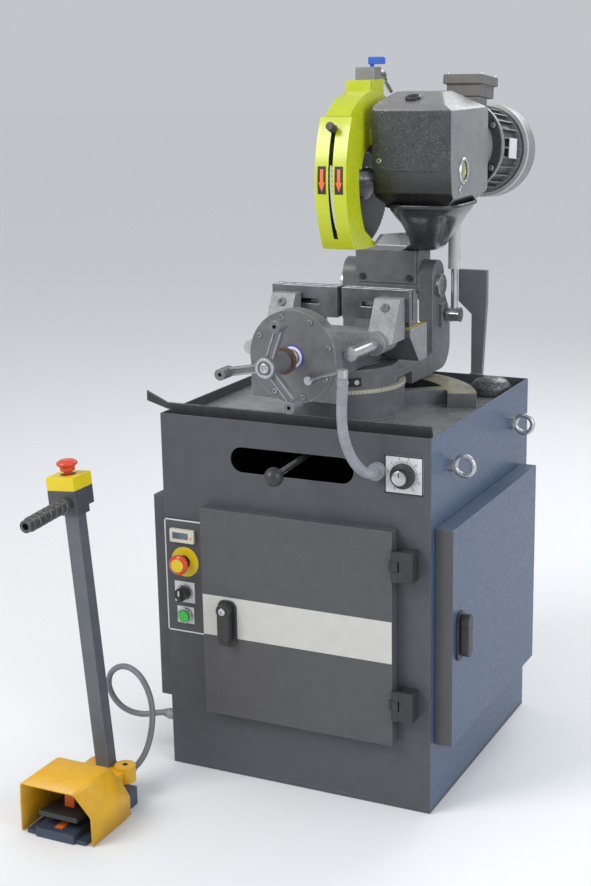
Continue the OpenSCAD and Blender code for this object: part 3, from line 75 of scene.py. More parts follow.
def makeFinish(name, base, tone, rough, metal=0.0, mottle=40, grain=700, bump=0.08,
               depth=0.0004, edge=None, specks=None, brush=None, coat=0.0, lower=None, holes=None):
    mat = bpy.data.materials.new(name)
    mat.use_nodes = True
    tree = mat.node_tree
    link = tree.links.new
    shader = tree.nodes["Principled BSDF"]
    for key, value in (("Metallic", metal), ("Coat Weight", coat), ("Coat Roughness", soft["coat"])):
        shader.inputs[key].default_value = value

    def add(kind, **values):
        node = tree.nodes.new(kind)
        for key, value in values.items():
            if hasattr(node, key):
                setattr(node, key, value)
            else:
                node.inputs[key].default_value = value
        return node

    def noise(scale, detail, source):
        node = add("ShaderNodeTexNoise", Scale=scale, Detail=detail)
        link(source, node.inputs["Vector"])
        return node.outputs["Fac"]

    def spread(source, low, high, start=0.3, stop=0.7):
        node = add("ShaderNodeMapRange")
        for key, value in zip(("From Min", "From Max", "To Min", "To Max"), (start, stop, low, high)):
            node.inputs[key].default_value = value
        link(source, node.inputs["Value"])
        return node.outputs["Result"]

    def mix(share, first, second):
        node = add("ShaderNodeMix", data_type="RGBA")
        link(share, node.inputs["Factor"])
        sockets = [s for s in node.inputs if s.type == "RGBA"]
        for socket, value in zip(sockets, (first, second)):
            if isinstance(value, tuple):
                socket.default_value = (*value, 1)
            else:
                link(value, socket)
        return [s for s in node.outputs if s.type == "RGBA"][0]

    place = add("ShaderNodeTexCoord").outputs["Object"]
    strokes = place
    if brush:  # strokes run along the axis with the small share
        stretch = add("ShaderNodeMapping", Scale=brush)
        link(place, stretch.inputs["Vector"])
        strokes = stretch.outputs["Vector"]
    colour = mix(spread(noise(mottle, 4, place), 0, 1), base, tone)
    if specks:
        dots = spread(noise(specks[1], 1, place), 0, 1, specks[2], specks[2] + soft["speck"])
        colour = mix(dots, colour, specks[0])
    if lower:  # another colour below a height, with a soft change
        split = add("ShaderNodeSeparateXYZ")
        link(place, split.inputs["Vector"])
        colour = mix(spread(split.outputs["Z"], 1, 0, lower[0] * mm, lower[1] * mm), colour, lower[2])
    if holes:  # round holes of a perforated sheet, as dark dots of painted shade
        cells = add("ShaderNodeTexVoronoi", Scale=holes[0])
        link(place, cells.inputs["Vector"])
        dots = spread(cells.outputs["Distance"], 1, 0, holes[1], holes[1] + soft["hole"])
        colour = mix(dots, colour, holes[2])
    if edge:  # worn edges, and painted highlights on edges: where a rounded normal leaves the true one
        rounded = add("ShaderNodeBevel", samples=4, Radius=edgeWearAndHighlight["radius"] * mm)
        true = add("ShaderNodeNewGeometry").outputs["True Normal"]
        dot = add("ShaderNodeVectorMath", operation="DOT_PRODUCT")
        link(rounded.outputs["Normal"], dot.inputs[0])
        link(true, dot.inputs[1])
        share = add("ShaderNodeMath", operation="MULTIPLY", use_clamp=True)
        link(spread(dot.outputs["Value"], 1, 0, *edgeWearAndHighlight["turn"]), share.inputs[0])
        patches = noise(edgeWearAndHighlight["patches"], 3, place)
        link(spread(patches, *edgeWearAndHighlight["share"], *edgeWearAndHighlight["from"]), share.inputs[1])
        colour = mix(share.outputs["Value"], colour, edge)
    link(colour, shader.inputs["Base Color"])
    link(spread(noise(mottle * 3, 3, strokes), rough[0], rough[1]), shader.inputs["Roughness"])
    relief = add("ShaderNodeBump", Strength=bump, Distance=depth)
    link(noise(grain, 3, strokes), relief.inputs["Height"])
    link(relief.outputs["Normal"], shader.inputs["Normal"])
    return mat


finishes = {  # colour, second colour, roughness from and to, and what differs from the usual
    "cabinetPaint": ((0.064, 0.068, 0.077), (0.054, 0.058, 0.067), (0.42, 0.55), dict(grain=1400, bump=0.22,
        edge=(0.13, 0.135, 0.145))),
    "doorPaint": ((0.07, 0.071, 0.076), (0.06, 0.061, 0.066), (0.4, 0.52), dict(grain=1500, bump=0.25,
        edge=(0.16, 0.16, 0.165))),
    # dark side paint with a painted blue reflection in its colour
    "sidePaintAndBlueReflection": ((0.052, 0.082, 0.14), (0.044, 0.07, 0.122), (0.3, 0.42), dict(grain=1400, bump=0.2,
        edge=(0.13, 0.15, 0.18))),
    "postPaint": ((0.14, 0.144, 0.152), (0.115, 0.118, 0.126), (0.4, 0.52), dict(grain=1200, bump=0.2,
        edge=(0.3, 0.3, 0.3))),
    "bandGrey": ((0.5, 0.495, 0.47), (0.46, 0.455, 0.43), (0.4, 0.5), dict(grain=900, bump=0.03)),
    "trayPaint": ((0.21, 0.213, 0.213), (0.13, 0.133, 0.135), (0.2, 0.42), dict(mottle=14, grain=600,
        bump=0.1, coat=0.15, edge=(0.25, 0.25, 0.25))),
    # near-black tray lip: painted shade of the dark band at the tray's front
    "lipPaintedShade": ((0.022, 0.023, 0.025), (0.035, 0.036, 0.038), (0.32, 0.48), dict(bump=0.12,
        edge=(0.3, 0.3, 0.3))),
    "blackPlastic": ((0.02, 0.02, 0.021), (0.03, 0.03, 0.031), (0.36, 0.5), dict(grain=1600, bump=0.2)),
    # the strainer's holes are dark dots: painted shade in the openings
    "meshGrey": ((0.17, 0.17, 0.172), (0.13, 0.13, 0.132), (0.35, 0.5), dict(metal=0.5, bump=0.1,
        holes=(330, 0.36, (0.012, 0.012, 0.013)))),
    "softBlack": ((0.012, 0.012, 0.013), (0.02, 0.02, 0.021), (0.6, 0.75), dict(grain=900, bump=0.3)),
    "zincSteel": ((0.56, 0.57, 0.58), (0.42, 0.43, 0.44), (0.22, 0.4), dict(metal=0.9, grain=500)),
    "groundSteel": ((0.6, 0.61, 0.62), (0.47, 0.48, 0.5), (0.16, 0.32), dict(metal=0.95, brush=(300, 6, 300),
        grain=3, bump=0.1)),
    "jawSteel": ((0.2, 0.205, 0.215), (0.13, 0.134, 0.142), (0.3, 0.46), dict(metal=0.85, brush=(5, 260, 260),
        grain=3, bump=0.1, edge=(0.85, 0.85, 0.83))),
    "bladeSteel": ((0.07, 0.074, 0.088), (0.055, 0.05, 0.046), (0.2, 0.36), dict(metal=0.9, mottle=18,
        brush=(4, 180, 180), grain=3, bump=0.06)),
    "casting": ((0.12, 0.122, 0.126), (0.085, 0.087, 0.092), (0.36, 0.52), dict(grain=260, bump=0.35,
        depth=0.0006, edge=(0.42, 0.42, 0.41), specks=((0.26, 0.26, 0.26), 900, 0.66))),
    # paler casting colour; on the vise's right-facing faces it is a painted highlight
    "castingPaleAndLit": ((0.21, 0.213, 0.218), (0.15, 0.153, 0.16), (0.36, 0.52), dict(grain=260, bump=0.4,
        depth=0.0006, edge=(0.5, 0.5, 0.49), specks=((0.4, 0.4, 0.39), 800, 0.62))),
    "wornCast": ((0.3, 0.26, 0.12), (0.13, 0.13, 0.12), (0.2, 0.42), dict(mottle=22, grain=240, bump=0.3)),
    "viseGrey": ((0.16, 0.162, 0.168), (0.125, 0.127, 0.133), (0.36, 0.48), dict(metal=0.35, grain=420,
        bump=0.1, edge=(0.5, 0.5, 0.49))),
    "oilStain": ((0.5, 0.4, 0.06), (0.36, 0.31, 0.12), (0.25, 0.5), dict(mottle=30, grain=240, bump=0.3)),
    "gearPaint": ((0.042, 0.042, 0.044), (0.028, 0.028, 0.03), (0.24, 0.4), dict(grain=240, bump=0.5,
        depth=0.0008, specks=((0.17, 0.17, 0.17), 700, 0.63), coat=0.2,
        lower=(1128, 1162, (0.009, 0.009, 0.01)))),
    # paler copy of the gearbox paint: painted highlight on the lit faces
    "gearSidePaintedHighlight": ((0.2, 0.2, 0.198), (0.165, 0.165, 0.165), (0.32, 0.46), dict(grain=300, bump=0.3,
        depth=0.0006)),
    "neckGloss": ((0.025, 0.025, 0.027), (0.04, 0.042, 0.048), (0.16, 0.3), dict(grain=200, bump=0.3,
        depth=0.0006, coat=0.4)),
    # motorBlack's bright edge colour is partly wear and partly painted highlight, as on the grip's ribs
    "motorBlack": ((0.032, 0.032, 0.034), (0.05, 0.05, 0.052), (0.35, 0.5), dict(grain=500, bump=0.2,
        edge=(0.45, 0.45, 0.44))),
    "motorGrey": ((0.21, 0.21, 0.21), (0.17, 0.17, 0.172), (0.36, 0.5), dict(grain=380, bump=0.25,
        edge=(0.4, 0.4, 0.39))),
    "terminalGrey": ((0.125, 0.118, 0.11), (0.1, 0.095, 0.09), (0.4, 0.55), dict(bump=0.25,
        edge=(0.26, 0.25, 0.24))),
    "guardLime": ((0.48, 0.53, 0.012), (0.44, 0.49, 0.01), (0.24, 0.36), dict(grain=500, bump=0.06, coat=0.3,
        edge=(0.66, 0.7, 0.12))),
    # dark copy of the guard's lime: painted shade inside the cover
    "guardPaintedShade": ((0.03, 0.032, 0.01), (0.02, 0.021, 0.008), (0.6, 0.75), dict(bump=0.1)),
    "coolantMetal": ((0.24, 0.235, 0.225), (0.19, 0.187, 0.18), (0.36, 0.5), dict(metal=0.4, grain=500,
        bump=0.15, edge=(0.45, 0.45, 0.44))),
    "valveBlue": ((0.02, 0.11, 0.5), (0.015, 0.085, 0.42), (0.28, 0.4), dict(bump=0.06)),
    "ramWhite": ((0.48, 0.48, 0.465), (0.41, 0.41, 0.395), (0.28, 0.4), dict(bump=0.05)),
    "paleGrey": ((0.46, 0.46, 0.45), (0.4, 0.4, 0.39), (0.35, 0.5), dict(metal=0.2)),
    "bronze": ((0.5, 0.32, 0.1), (0.4, 0.25, 0.08), (0.3, 0.42), dict(metal=0.9, bump=0.06)),
    "stopRed": ((0.6, 0.05, 0.016), (0.52, 0.04, 0.012), (0.26, 0.38), dict(bump=0.04, coat=0.2)),
    "startGreen": ((0.05, 0.46, 0.07), (0.04, 0.4, 0.06), (0.24, 0.36), dict(bump=0.04, coat=0.2)),
    "signYellow": ((0.7, 0.53, 0.01), (0.64, 0.48, 0.01), (0.35, 0.45), dict(bump=0.03)),
    "pedalYellow": ((0.66, 0.36, 0.012), (0.59, 0.31, 0.01), (0.34, 0.46), dict(grain=1100, bump=0.14)),
    "pedalDark": ((0.028, 0.04, 0.068), (0.04, 0.054, 0.086), (0.4, 0.55), dict(grain=900, bump=0.2)),
    "latchOrange": ((0.78, 0.15, 0.02), (0.7, 0.12, 0.015), (0.35, 0.45), dict(bump=0.05)),
    "columnPaint": ((0.1, 0.108, 0.125), (0.085, 0.092, 0.108), (0.36, 0.5), dict(grain=1200, bump=0.2,
        edge=(0.2, 0.21, 0.23))),
    "hoseGrey": ((0.27, 0.28, 0.3), (0.21, 0.22, 0.24), (0.38, 0.5), dict(grain=600, bump=0.2)),
    "cableGrey": ((0.15, 0.16, 0.175), (0.12, 0.13, 0.142), (0.42, 0.55), dict(grain=900, bump=0.15)),
    "scaleCream": ((0.52, 0.49, 0.4), (0.42, 0.39, 0.31), (0.32, 0.48), dict(metal=0.2, mottle=25)),
    "plateWhite": ((0.6, 0.61, 0.62), (0.55, 0.56, 0.57), (0.35, 0.45), dict(bump=0.03)),
    "inkBlack": ((0.015, 0.015, 0.016), (0.02, 0.02, 0.021), (0.45, 0.55), dict(bump=0.02)),
    "frameCream": ((0.6, 0.57, 0.47), (0.55, 0.52, 0.42), (0.38, 0.48), dict(bump=0.05)),
    "screenGrey": ((0.1, 0.125, 0.155), (0.085, 0.105, 0.13), (0.1, 0.2), dict(bump=0.01, coat=0.5)),
    "collarBrown": ((0.1, 0.052, 0.032), (0.075, 0.04, 0.026), (0.4, 0.55), dict(bump=0.1)),
    "sealBlue": ((0.06, 0.05, 0.42), (0.05, 0.04, 0.36), (0.35, 0.45), dict(bump=0.03)),
    "sightGlass": ((0.16, 0.14, 0.02), (0.3, 0.28, 0.08), (0.04, 0.08), dict(mottle=60, bump=0.02, coat=1.0)),
}
mats = {name: makeFinish(name, *looks, **more) for name, (*looks, more) in finishes.items()}
print("finishes made:", len(mats))


# Mesh building, in millimetres until makePiece scales it
toFront, toRight, toTop = (0, -1, 0), (1, 0, 0), (0, 0, 1)
edgeAngle = {"piece": 40, "node": 38}  # degrees, from which an edge is rounded


def circle(count, shift=0):  # cosine and sine of each step of a full turn
    turns = [2 * math.pi * (k + shift) / count for k in range(count)]
    return [(math.cos(t), math.sin(t)) for t in turns]


def placed(place, degrees, axis):
    return Matrix.Translation(place) @ Matrix.Rotation(math.radians(degrees), 4, axis)


def bothSides(x, y, z):
    return [(-x, y, z), (x, y, z)]


def addBox(bm, lo, hi):
    v = [bm.verts.new((x, y, z)) for x in (lo[0], hi[0]) for y in (lo[1], hi[1]) for z in (lo[2], hi[2])]
    for face in ((0, 1, 3, 2), (4, 6, 7, 5), (0, 4, 5, 1), (2, 3, 7, 6), (0, 2, 6, 4), (1, 5, 7, 3)):
        bm.faces.new([v[i] for i in face])
    return v


def addLathe(bm, profile, place, axis, sides=40):  # (radius, height) pairs, and a radius of 0 closes an end
    turn = Vector((0, 0, 1)).rotation_difference(Vector(axis)).to_matrix().to_4x4()
    turn.translation = place
    rings = []
    for r, h in profile:
        steps = 1 if r == 0 else sides
        rings.append([bm.verts.new(turn @ Vector((r * c, r * s, h))) for c, s in circle(steps)])
    for low, high in zip(rings, rings[1:]):
        for k in range(max(len(low), len(high))):
            j = k + 1
            corners = [low[k % len(low)], low[j % len(low)], high[j % len(high)], high[k % len(high)]]
            bm.faces.new(list(dict.fromkeys(corners)))


def addRing(bm, rIn, rOut, low, high, place, axis, sides=40):
    addLathe(bm, [(rIn, low), (rOut, low), (rOut, high), (rIn, high), (rIn, low)], place, axis, sides)


def addRod(bm, a, b, r, sides=20):
    d = Vector(b) - Vector(a)
    addLathe(bm, [(0, 0), (r, 0), (r, d.length), (0, d.length)], a, d, sides)


def addPrism(bm, outline, axis, low, high):  # outline in the other two axes, in order
    i = "xyz".index(axis)
    ends = []
    for d in (low, high):
        ends.append([bm.verts.new(p[:i] + (d,) + p[i:]) for p in map(tuple, outline)])
        bm.faces.new(ends[-1])
    for k in range(len(outline)):
        j = (k + 1) % len(outline)
        bm.faces.new((ends[0][k], ends[0][j], ends[1][j], ends[1][k]))


def addFrame(bm, lo, hi, wide, y0, y1):  # four flat bars round a rectangle in x and z
    (left, low), (right, high) = lo, hi
    bars = (((left, low), (left + wide, high)), ((right - wide, low), (right, high)),
            ((left, low), (right, low + wide)), ((left, high - wide), (right, high)))
    for (xa, za), (xb, zb) in bars:
        addBox(bm, (xa, y0, za), (xb, y1, zb))


def addScrew(bm, place, axis, r, h):  # socket head with a round recess
    head = [(0, 0), (r, 0), (r, h * 0.8), (r * 0.88, h), (r * 0.55, h), (r * 0.5, h * 0.4), (0, h * 0.4)]
    addLathe(bm, head, place, axis, 18)


def roundedRect(lo, hi, r, steps=5):
    corners = ((hi[0] - r, hi[1] - r, 0), (lo[0] + r, hi[1] - r, 90), (lo[0] + r, lo[1] + r, 180),
               (hi[0] - r, lo[1] + r, 270))
    outline = []
    for x, y, start in corners:
        for s in range(steps + 1):
            a = math.radians(start + 90 * s / steps)
            outline.append((x + r * math.cos(a), y + r * math.sin(a)))
    return outline


def bridgeRings(bm, rings):  # closed rings of equal count, capped at both ends
    for low, high in zip(rings, rings[1:]):
        for k in range(len(low)):
            j = (k + 1) % len(low)
            bm.faces.new((low[k], low[j], high[j], high[k]))
    bm.faces.new(rings[0])
    bm.faces.new(rings[-1])


def makePiece(name, bm, body, finish, bevel=0, segments=2, replaces=(), smooth=34):
    bmesh.ops.recalc_face_normals(bm, faces=bm.faces)
    bmesh.ops.scale(bm, vec=(mm, mm, mm), verts=bm.verts)
    mesh = bpy.data.meshes.new(name)
    bm.to_mesh(mesh)
    bm.free()
    mesh.materials.append(mats[finish])
    mesh.shade_smooth()
    mesh.set_sharp_from_angle(angle=math.radians(smooth))
    obj = bpy.data.objects.new(name, mesh)
    scene.collection.objects.link(obj)
    if bevel:
        edges = obj.modifiers.new("edges", "BEVEL")
        edges.width, edges.segments = bevel * mm, segments
        edges.angle_limit = math.radians(edgeAngle["piece"])
        edges.harden_normals = True
    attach(obj, body)
    if replaces:
        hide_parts(*replaces)
    return obj


def buildPiece(name, body, finish, *forms, turn=None, **looks):  # a form is an add function with its values
    bm = bmesh.new()
    for add, *values in forms:
        add(bm, *values)
    if turn:
        bmesh.ops.transform(bm, matrix=turn, verts=bm.verts)
    return makePiece(name, bm, body, finish, **looks)


# Hose and pedal cable, along the same points as their solids
hose = {
    "route": [(140, -349, 834), (140, -349, 818), (139.2, -349.7, 802), (138.6, -350.4, 787),
              (138.6, -351.2, 769.4), (139.6, -351.9, 751.6), (142.2, -352.6, 733.9),
              (146.8, -352.9, 716.6), (153.2, -352.2, 700.1), (160, -347.2, 684.4), (166, -337.2, 671),
              (170.6, -323.4, 661), (173.3, -308, 654.9), (174, -297.5, 653.1), (174, -289, 653)],
    "r": 9.5, "ribs": 70, "ribSteps": 4, "ribHeight": 1.0, "sides": 24,
}
cable = {
    "route": [(-297, -252, 90), (-307, -252, 90), (-324, -252.4, 86.5), (-343, -253.5, 81),
              (-364, -256, 78.5), (-385, -262, 83.5), (-403, -268, 96), (-416, -274, 117),
              (-420, -280, 143), (-411, -286, 169), (-391, -292, 188), (-368, -298, 197),
              (-345, -304, 196), (-323, -310, 185), (-304, -318, 165), (-290, -328, 140),
              (-282, -341, 113), (-279, -357, 84), (-278.6, -377, 62), (-279.3, -399, 50.6),
              (-280, -415, 48), (-280, -427.7, 48)],
    "r": 6.0, "sides": 16, "steps": 170,
}


def smoothRoute(points, steps):
    p = [Vector(q) for q in points]
    out = []
    for k in range(steps + 1):
        f = k / steps * (len(p) - 1)
        i = min(int(f), len(p) - 2)
        t = f - i
        a, b, c, d = p[max(i - 1, 0)], p[i], p[i + 1], p[min(i + 2, len(p) - 1)]
        out.append(0.5 * (2 * b + t * (c - a) + t * t * (2 * a - 5 * b + 4 * c - d)
                          + t * t * t * (3 * b - a - 3 * c + d)))
    return out


def addTube(bm, path, radii, sides):
    rings = []
    across = None
    for k, centre in enumerate(path):
        ahead = (path[min(k + 1, len(path) - 1)] - path[max(k - 1, 0)]).normalized()
        if across is None:
            across = ahead.orthogonal().normalized()
        across = (across - ahead * across.dot(ahead)).normalized()
        up = ahead.cross(across)
        rings.append([bm.verts.new(centre + radii[k] * (across * c + up * s)) for c, s in circle(sides)])
    bridgeRings(bm, rings)


def addCord(name, c, path, radii, finish, node):
    obj = buildPiece(name, "base", finish, (addTube, path, radii, c["sides"]), replaces=[node], smooth=50)


hosePath = smoothRoute(hose["route"], hose["ribs"] * hose["ribSteps"])
hoseDips = [hose["ribHeight"] if k % hose["ribSteps"] == 0 else 0 for k in range(len(hosePath))]
addCord("viseHose", hose, hosePath, [hose["r"] - dip for dip in hoseDips], "hoseGrey", "vise_hose")
cablePath = smoothRoute(cable["route"], cable["steps"])
addCord("pedalCable", cable, cablePath, [cable["r"]] * len(cablePath), "cableGrey", "pedal_cable")


# Finish of each CAD node that shows, with the width of its rounded edges in millimetres
nodeFinish = {
    # the tray lip's black is painted shade
    "trayPaint": {"chip_tray": 0}, "lipPaintedShade": {"tray_lip": 0.8}, "meshGrey": {"strainer": 3},
    "postPaint": {"hose_post": 1}, "pedalDark": {"pedal_base": 1.5}, "pedalYellow": {"pedal_housing": 3},
    "columnPaint": {"pedal_column": 1.4}, "signYellow": {"stop_box_lid": 2}, "ramWhite": {"ram_barrel": 1},
    "motorGrey": {"fan_cowl": 1.2}, "terminalGrey": {"terminal_box": 2},
    "guardLime": {"blade_guard": 1, "guard_cover": 1}, "coolantMetal": {"coolant_block": 1.5},
    "bladeSteel": {"blade": 0}, "bronze": {"worm_wheel": 0.5}, "valveBlue": {"valve_lever": 2},
    # the right door's side paint carries a painted blue reflection
    "castingPaleAndLit": {"jaw_carriage": 1.5}, "sidePaintAndBlueReflection": {"right_door": 1.1},
    "stopRed": {"panel_stop": 1.5, "column_stop": 1.5}, "startGreen": {"start_button": 1},
    "cabinetPaint": {"base_plate": 1, "front_panel": 0.6, "cabinet_shell": 0.6, "left_cover": 1.1,
                     "stop_box": 1.5},
    "zincSteel": {"eyebolts": 0.8, "hose_fittings": 0.8, "pivot_pin": 2},
    "doorPaint": {"control_panel": 0.5, "front_door": 1.1},
    "casting": {"base_casting": 0, "vise_body": 2, "swivel_yoke": 2.5, "head_arm": 2},
    "viseGrey": {"vise_cylinder": 1.5, "handwheel": 1.5},
    # the grip's ribs get painted highlights from motorBlack's edge colour
    "motorBlack": {"column_grip": 0.8, "motor_body": 0.5},
    "groundSteel": {"lock_lever": 0.5, "ram_rod": 1, "spindle": 1, "motor_shaft": 0.5, "vise_screw": 0.8},
    "blackPlastic": {"guard_knob": 1, "front_door_handle": 2, "right_door_handle": 2, "mode_selector": 1,
                     "feed_dial": 1, "pedal_treadle": 1},
    "jawSteel": {"front_jaw_left": 0.8, "front_jaw_right": 0.8, "rear_jaw_left": 0.8, "rear_jaw_right": 0.8},
}
painted = [  # faces with a finish of their own, picked by centre in millimetres and normal
    ("front_panel", "blackPlastic", lambda c, n: c.y < -277),  # hinge brackets
    ("cabinet_shell", "blackPlastic", lambda c, n: c.x > 277),
    # right wall of the cabinet: painted blue reflection
    ("cabinet_shell", "sidePaintAndBlueReflection", lambda c, n: 274 < c.x < 276 and n.x > 0.9),
    ("front_door", "blackPlastic", lambda c, n: c.x > 180 and c.y < -300.5 or c.x > 211),  # hinges
    # the right door's front faces keep the front paint, without the painted blue reflection
    ("right_door", "doorPaint", lambda c, n: n.y < -0.9),
    ("right_door", "blackPlastic", lambda c, n: c.x > 310.5 or c.y > 231),
    ("vise_body", "oilStain", lambda c, n: 865 < c.z < 867 and n.z > 0.9 and abs(c.x) > 74),  # ledges
    # right-facing faces of the vise in the paler casting: painted highlight
    ("vise_body", "castingPaleAndLit", lambda c, n: c.x > 140 and n.x > 0.9),
    ("jaw_carriage", "groundSteel",  # guide bars
     lambda c, n: Vector((abs(c.x) - 102, c.z - 850)).length < 13.4 and (c.y < -124 or c.y > -61)),
    ("guard_cover", "guardPaintedShade",  # inside, painted dark as painted shade
     lambda c, n: abs(c.x) < 29.5 and Vector((c.y - 164, c.z - 1140)).length < 249),
    ("motor_body", "motorGrey", lambda c, n: abs(n.y) > 0.9),
    ("lock_lever", "blackPlastic", lambda c, n: c.y < -370),  # knob
    ("hose_fittings", "hoseGrey", lambda c, n: c.x > 150 or c.x < -200),  # glands
    ("blade", "softBlack", lambda c, n: Vector((c.y - 60, c.z - 1145)).length > 130),  # teeth, painted black as painted shade
    ("base_casting", "wornCast", lambda c, n: n.z > 0.9 and Vector((c.x, c.y + 30)).length > 150),
    ("vise_screw", "collarBrown",
     lambda c, n: -301 < c.y < -291 and Vector((c.x, c.z - 844)).length > 14),
    ("pedal_treadle", "latchOrange",
     lambda c, n: c.z > 45 and -600 < c.y < -585 and abs(c.x + 310) < 11),
]
nodeMesh = {"weld": 0.00002, "flat": 0.6}  # metres and degrees within which a node's facets are joined


def dressNode(name, finish, bevel):
    obj = nodes[name]
    obj.data.materials.clear()
    obj.data.materials.append(mats[finish])
    if not bevel:
        return
    weld = obj.modifiers.new("weld", "WELD")
    weld.merge_threshold = nodeMesh["weld"]
    flat = obj.modifiers.new("flat", "DECIMATE")
    flat.decimate_type, flat.delimit = "DISSOLVE", {"MATERIAL"}
    flat.angle_limit = math.radians(nodeMesh["flat"])
    edges = obj.modifiers.new("edges", "BEVEL")
    edges.width, edges.segments, edges.angle_limit = bevel * mm, 2, math.radians(edgeAngle["node"])
    edges.use_clamp_overlap = True
    normals = obj.modifiers.new("normals", "WEIGHTED_NORMAL")
    normals.keep_sharp = True


def paintFaces(mesh, finish, test):
    mesh.materials.append(mats[finish])
    for face in mesh.polygons:
        if test(face.center / mm, face.normal):
            face.material_index = len(mesh.materials) - 1


for finishName, widths in nodeFinish.items():
    for nodeName, edgeWidth in widths.items():
        dressNode(nodeName, finishName, edgeWidth)
for nodeName, finishName, faceTest in painted:
    paintFaces(nodes[nodeName].data, finishName, faceTest)
print("nodes dressed:", sum(map(len, nodeFinish.values())))


# Gearbox: the same outlines as the solid, with the casting's wide rounded edges
gear = {
    "x": (45, 205), "z": (1092, 1302), "round": 13, "lean": 6, "pivot": (0, 60, 1145), "motorX": 125,
    "rise": 65,
    "side": [(5, 1160), (5, 1272), (14, 1280), (95, 1302), (150, 1302), (212, 1262), (212, 1112), (190, 1092),
             (35, 1092), (11, 1116)],
    "cuts": [((45, 1108), (61, 1092)), ((189, 1092), (205, 1108)), ((205, 1270), (152, 1302)),
             ((57, 1302), (45, 1285))],
    "flange": [(0, 118), (60, 118), (60, 144), (72, 145), (74, 148), (74, 190), (92, 191), (94, 193),
               (94, 205), (0, 205)],
    "lug": [(204, 1114), (206, 1085), (222, 1045), (258, 1050), (256, 1114)], "lugX": (96, 108),
    "pin": ((107, 240, 1060), (142, 240, 1060), 6),
    "plate": ((56, 1158), (196, 1270), 22, 8), "plateY": (3.4, 8),
    "rim": ((48, 24), (202, 200), 50, 10), "rimZ": (1085, 1093),
    "glassRing": [(18, 0), (25, 0), (25, 3), (23, 5), (19, 5), (18, 3.2)], "glassPlace": (204, 70, 1156),
    "glass": [(0, 2.6), (10, 2.4), (18.4, 1.2), (18.4, 0), (0, 0)],
    "drain": ((204, 53, 1121), toRight, 7, 4), "screw": ((60, 6, 1177), toFront, 5, 3),
    "breather": ([(0, -2), (15, -2), (15, 5), (13, 7), (9, 7), (8, 4), (0, 4)], (112, 48, 1289),
                 (0, -0.26, 0.965), 28),
}
lean = placed(gear["pivot"], -gear["lean"], "X")
leanBack, leanTop = (lean.to_3x3() @ Vector(v) for v in ((0, 1, 0), toTop))


def leaned(*place):
    return lean @ Vector(place)


def buildGearbox():
    bm = bmesh.new()
    addPrism(bm, gear["side"], "x", *gear["x"])
    centre = Vector((sum(gear["x"]) / 2, 0, sum(gear["z"]) / 2))
    for (xa, za), (xb, zb) in gear["cuts"]:
        normal = Vector((zb - za, 0, xa - xb))
        if (centre - Vector((xa, 0, za))).dot(normal) > 0:
            normal = -normal
        cut = bmesh.ops.bisect_plane(bm, geom=bm.verts[:] + bm.edges[:] + bm.faces[:], dist=1e-4,
                                     plane_co=(xa, 0, za), plane_no=normal, clear_outer=True)
        rim = [e for e in cut["geom_cut"] if isinstance(e, bmesh.types.BMEdge)]
        bmesh.ops.contextual_create(bm, geom=rim)
    bmesh.ops.recalc_face_normals(bm, faces=bm.faces)
    bmesh.ops.bevel(bm, geom=bm.edges[:], offset=gear["round"], segments=4, profile=0.5, affect="EDGES",
                    clamp_overlap=True)
    addLathe(bm, gear["flange"], leaned(gear["motorX"], 0, gear["rise"]), leanBack, 64)
    addPrism(bm, gear["lug"], "x", *gear["lugX"])
    addRod(bm, *gear["pin"])
    case = makePiece("gearCase", bm, "head", "gearPaint", replaces=["gearbox"], smooth=40)
    paintFaces(case.data, "gearSidePaintedHighlight",  # painted highlight: paler on the right and on the top
               lambda c, n: n.x > 0.8 and c.x > 190 or n.z > 0.45 and c.z > 1255 and c.y < 206)


def buildGearTrim():
    buildPiece("gearPlate", "head", "gearPaint",
        (addPrism, roundedRect(*gear["plate"]), "y", *gear["plateY"]), bevel=1.4, segments=3)
    buildPiece("gearRim", "head", "neckGloss", (addPrism, roundedRect(*gear["rim"]), "z", *gear["rimZ"]),
        bevel=2.5, segments=3)
    buildPiece("gearFittings", "head", "zincSteel",
        (addLathe, gear["glassRing"], gear["glassPlace"], toRight),
        (addScrew, *gear["drain"]), (addScrew, *gear["screw"]))
    buildPiece("sightGlass", "head", "sightGlass", (addLathe, gear["glass"], gear["glassPlace"], toRight))
    buildPiece("breather", "head", "blackPlastic", (addLathe, *gear["breather"]))
    print("gearbox dressed")


buildGearbox()
buildGearTrim()


# Neck under the gearbox: the bowl and throat as one loft, and the link bar to the guard
neck = {
    "rings": [  # centre x, y, half width x, half depth y, z, squareness
        (60, 217, 37, 28, 985, 4), (71, 210, 38, 33, 989, 2.8), (82, 198, 38, 38, 997, 2.2),
        (90, 187, 42, 42, 1009, 2), (100, 172, 50, 50, 1028, 2), (110, 148, 60, 61, 1048, 2.1),
        (118, 124, 70, 71, 1066, 2.3), (124, 114, 76, 80, 1080, 2.6), (125, 112, 78, 83, 1087, 2.8),
    ],
    "sides": 56,
    "link": [(32, 1016), (66, 1031), (190, 1021), (169, 998)], "linkX": (35, 43),
    "linkFoot": ((42, 150, 1000), (62, 170, 1022)),
}


def buildNeck():
    bm = bmesh.new()
    rings = []
    for x, y, a, b, z, power in neck["rings"]:
        ring = []
        for c, s in circle(neck["sides"]):
            ring.append(bm.verts.new((x + a * math.copysign(abs(c) ** (2 / power), c),
                                      y + b * math.copysign(abs(s) ** (2 / power), s), z)))
        rings.append(ring)
    bridgeRings(bm, rings)
    makePiece("headNeck", bm, "head", "neckGloss", replaces=["head_neck"], smooth=60)
    buildPiece("guardLink", "head", "paleGrey", (addPrism, neck["link"], "x", *neck["linkX"]),
        (addBox, *neck["linkFoot"]), bevel=1)
    print("neck dressed")


buildNeck()


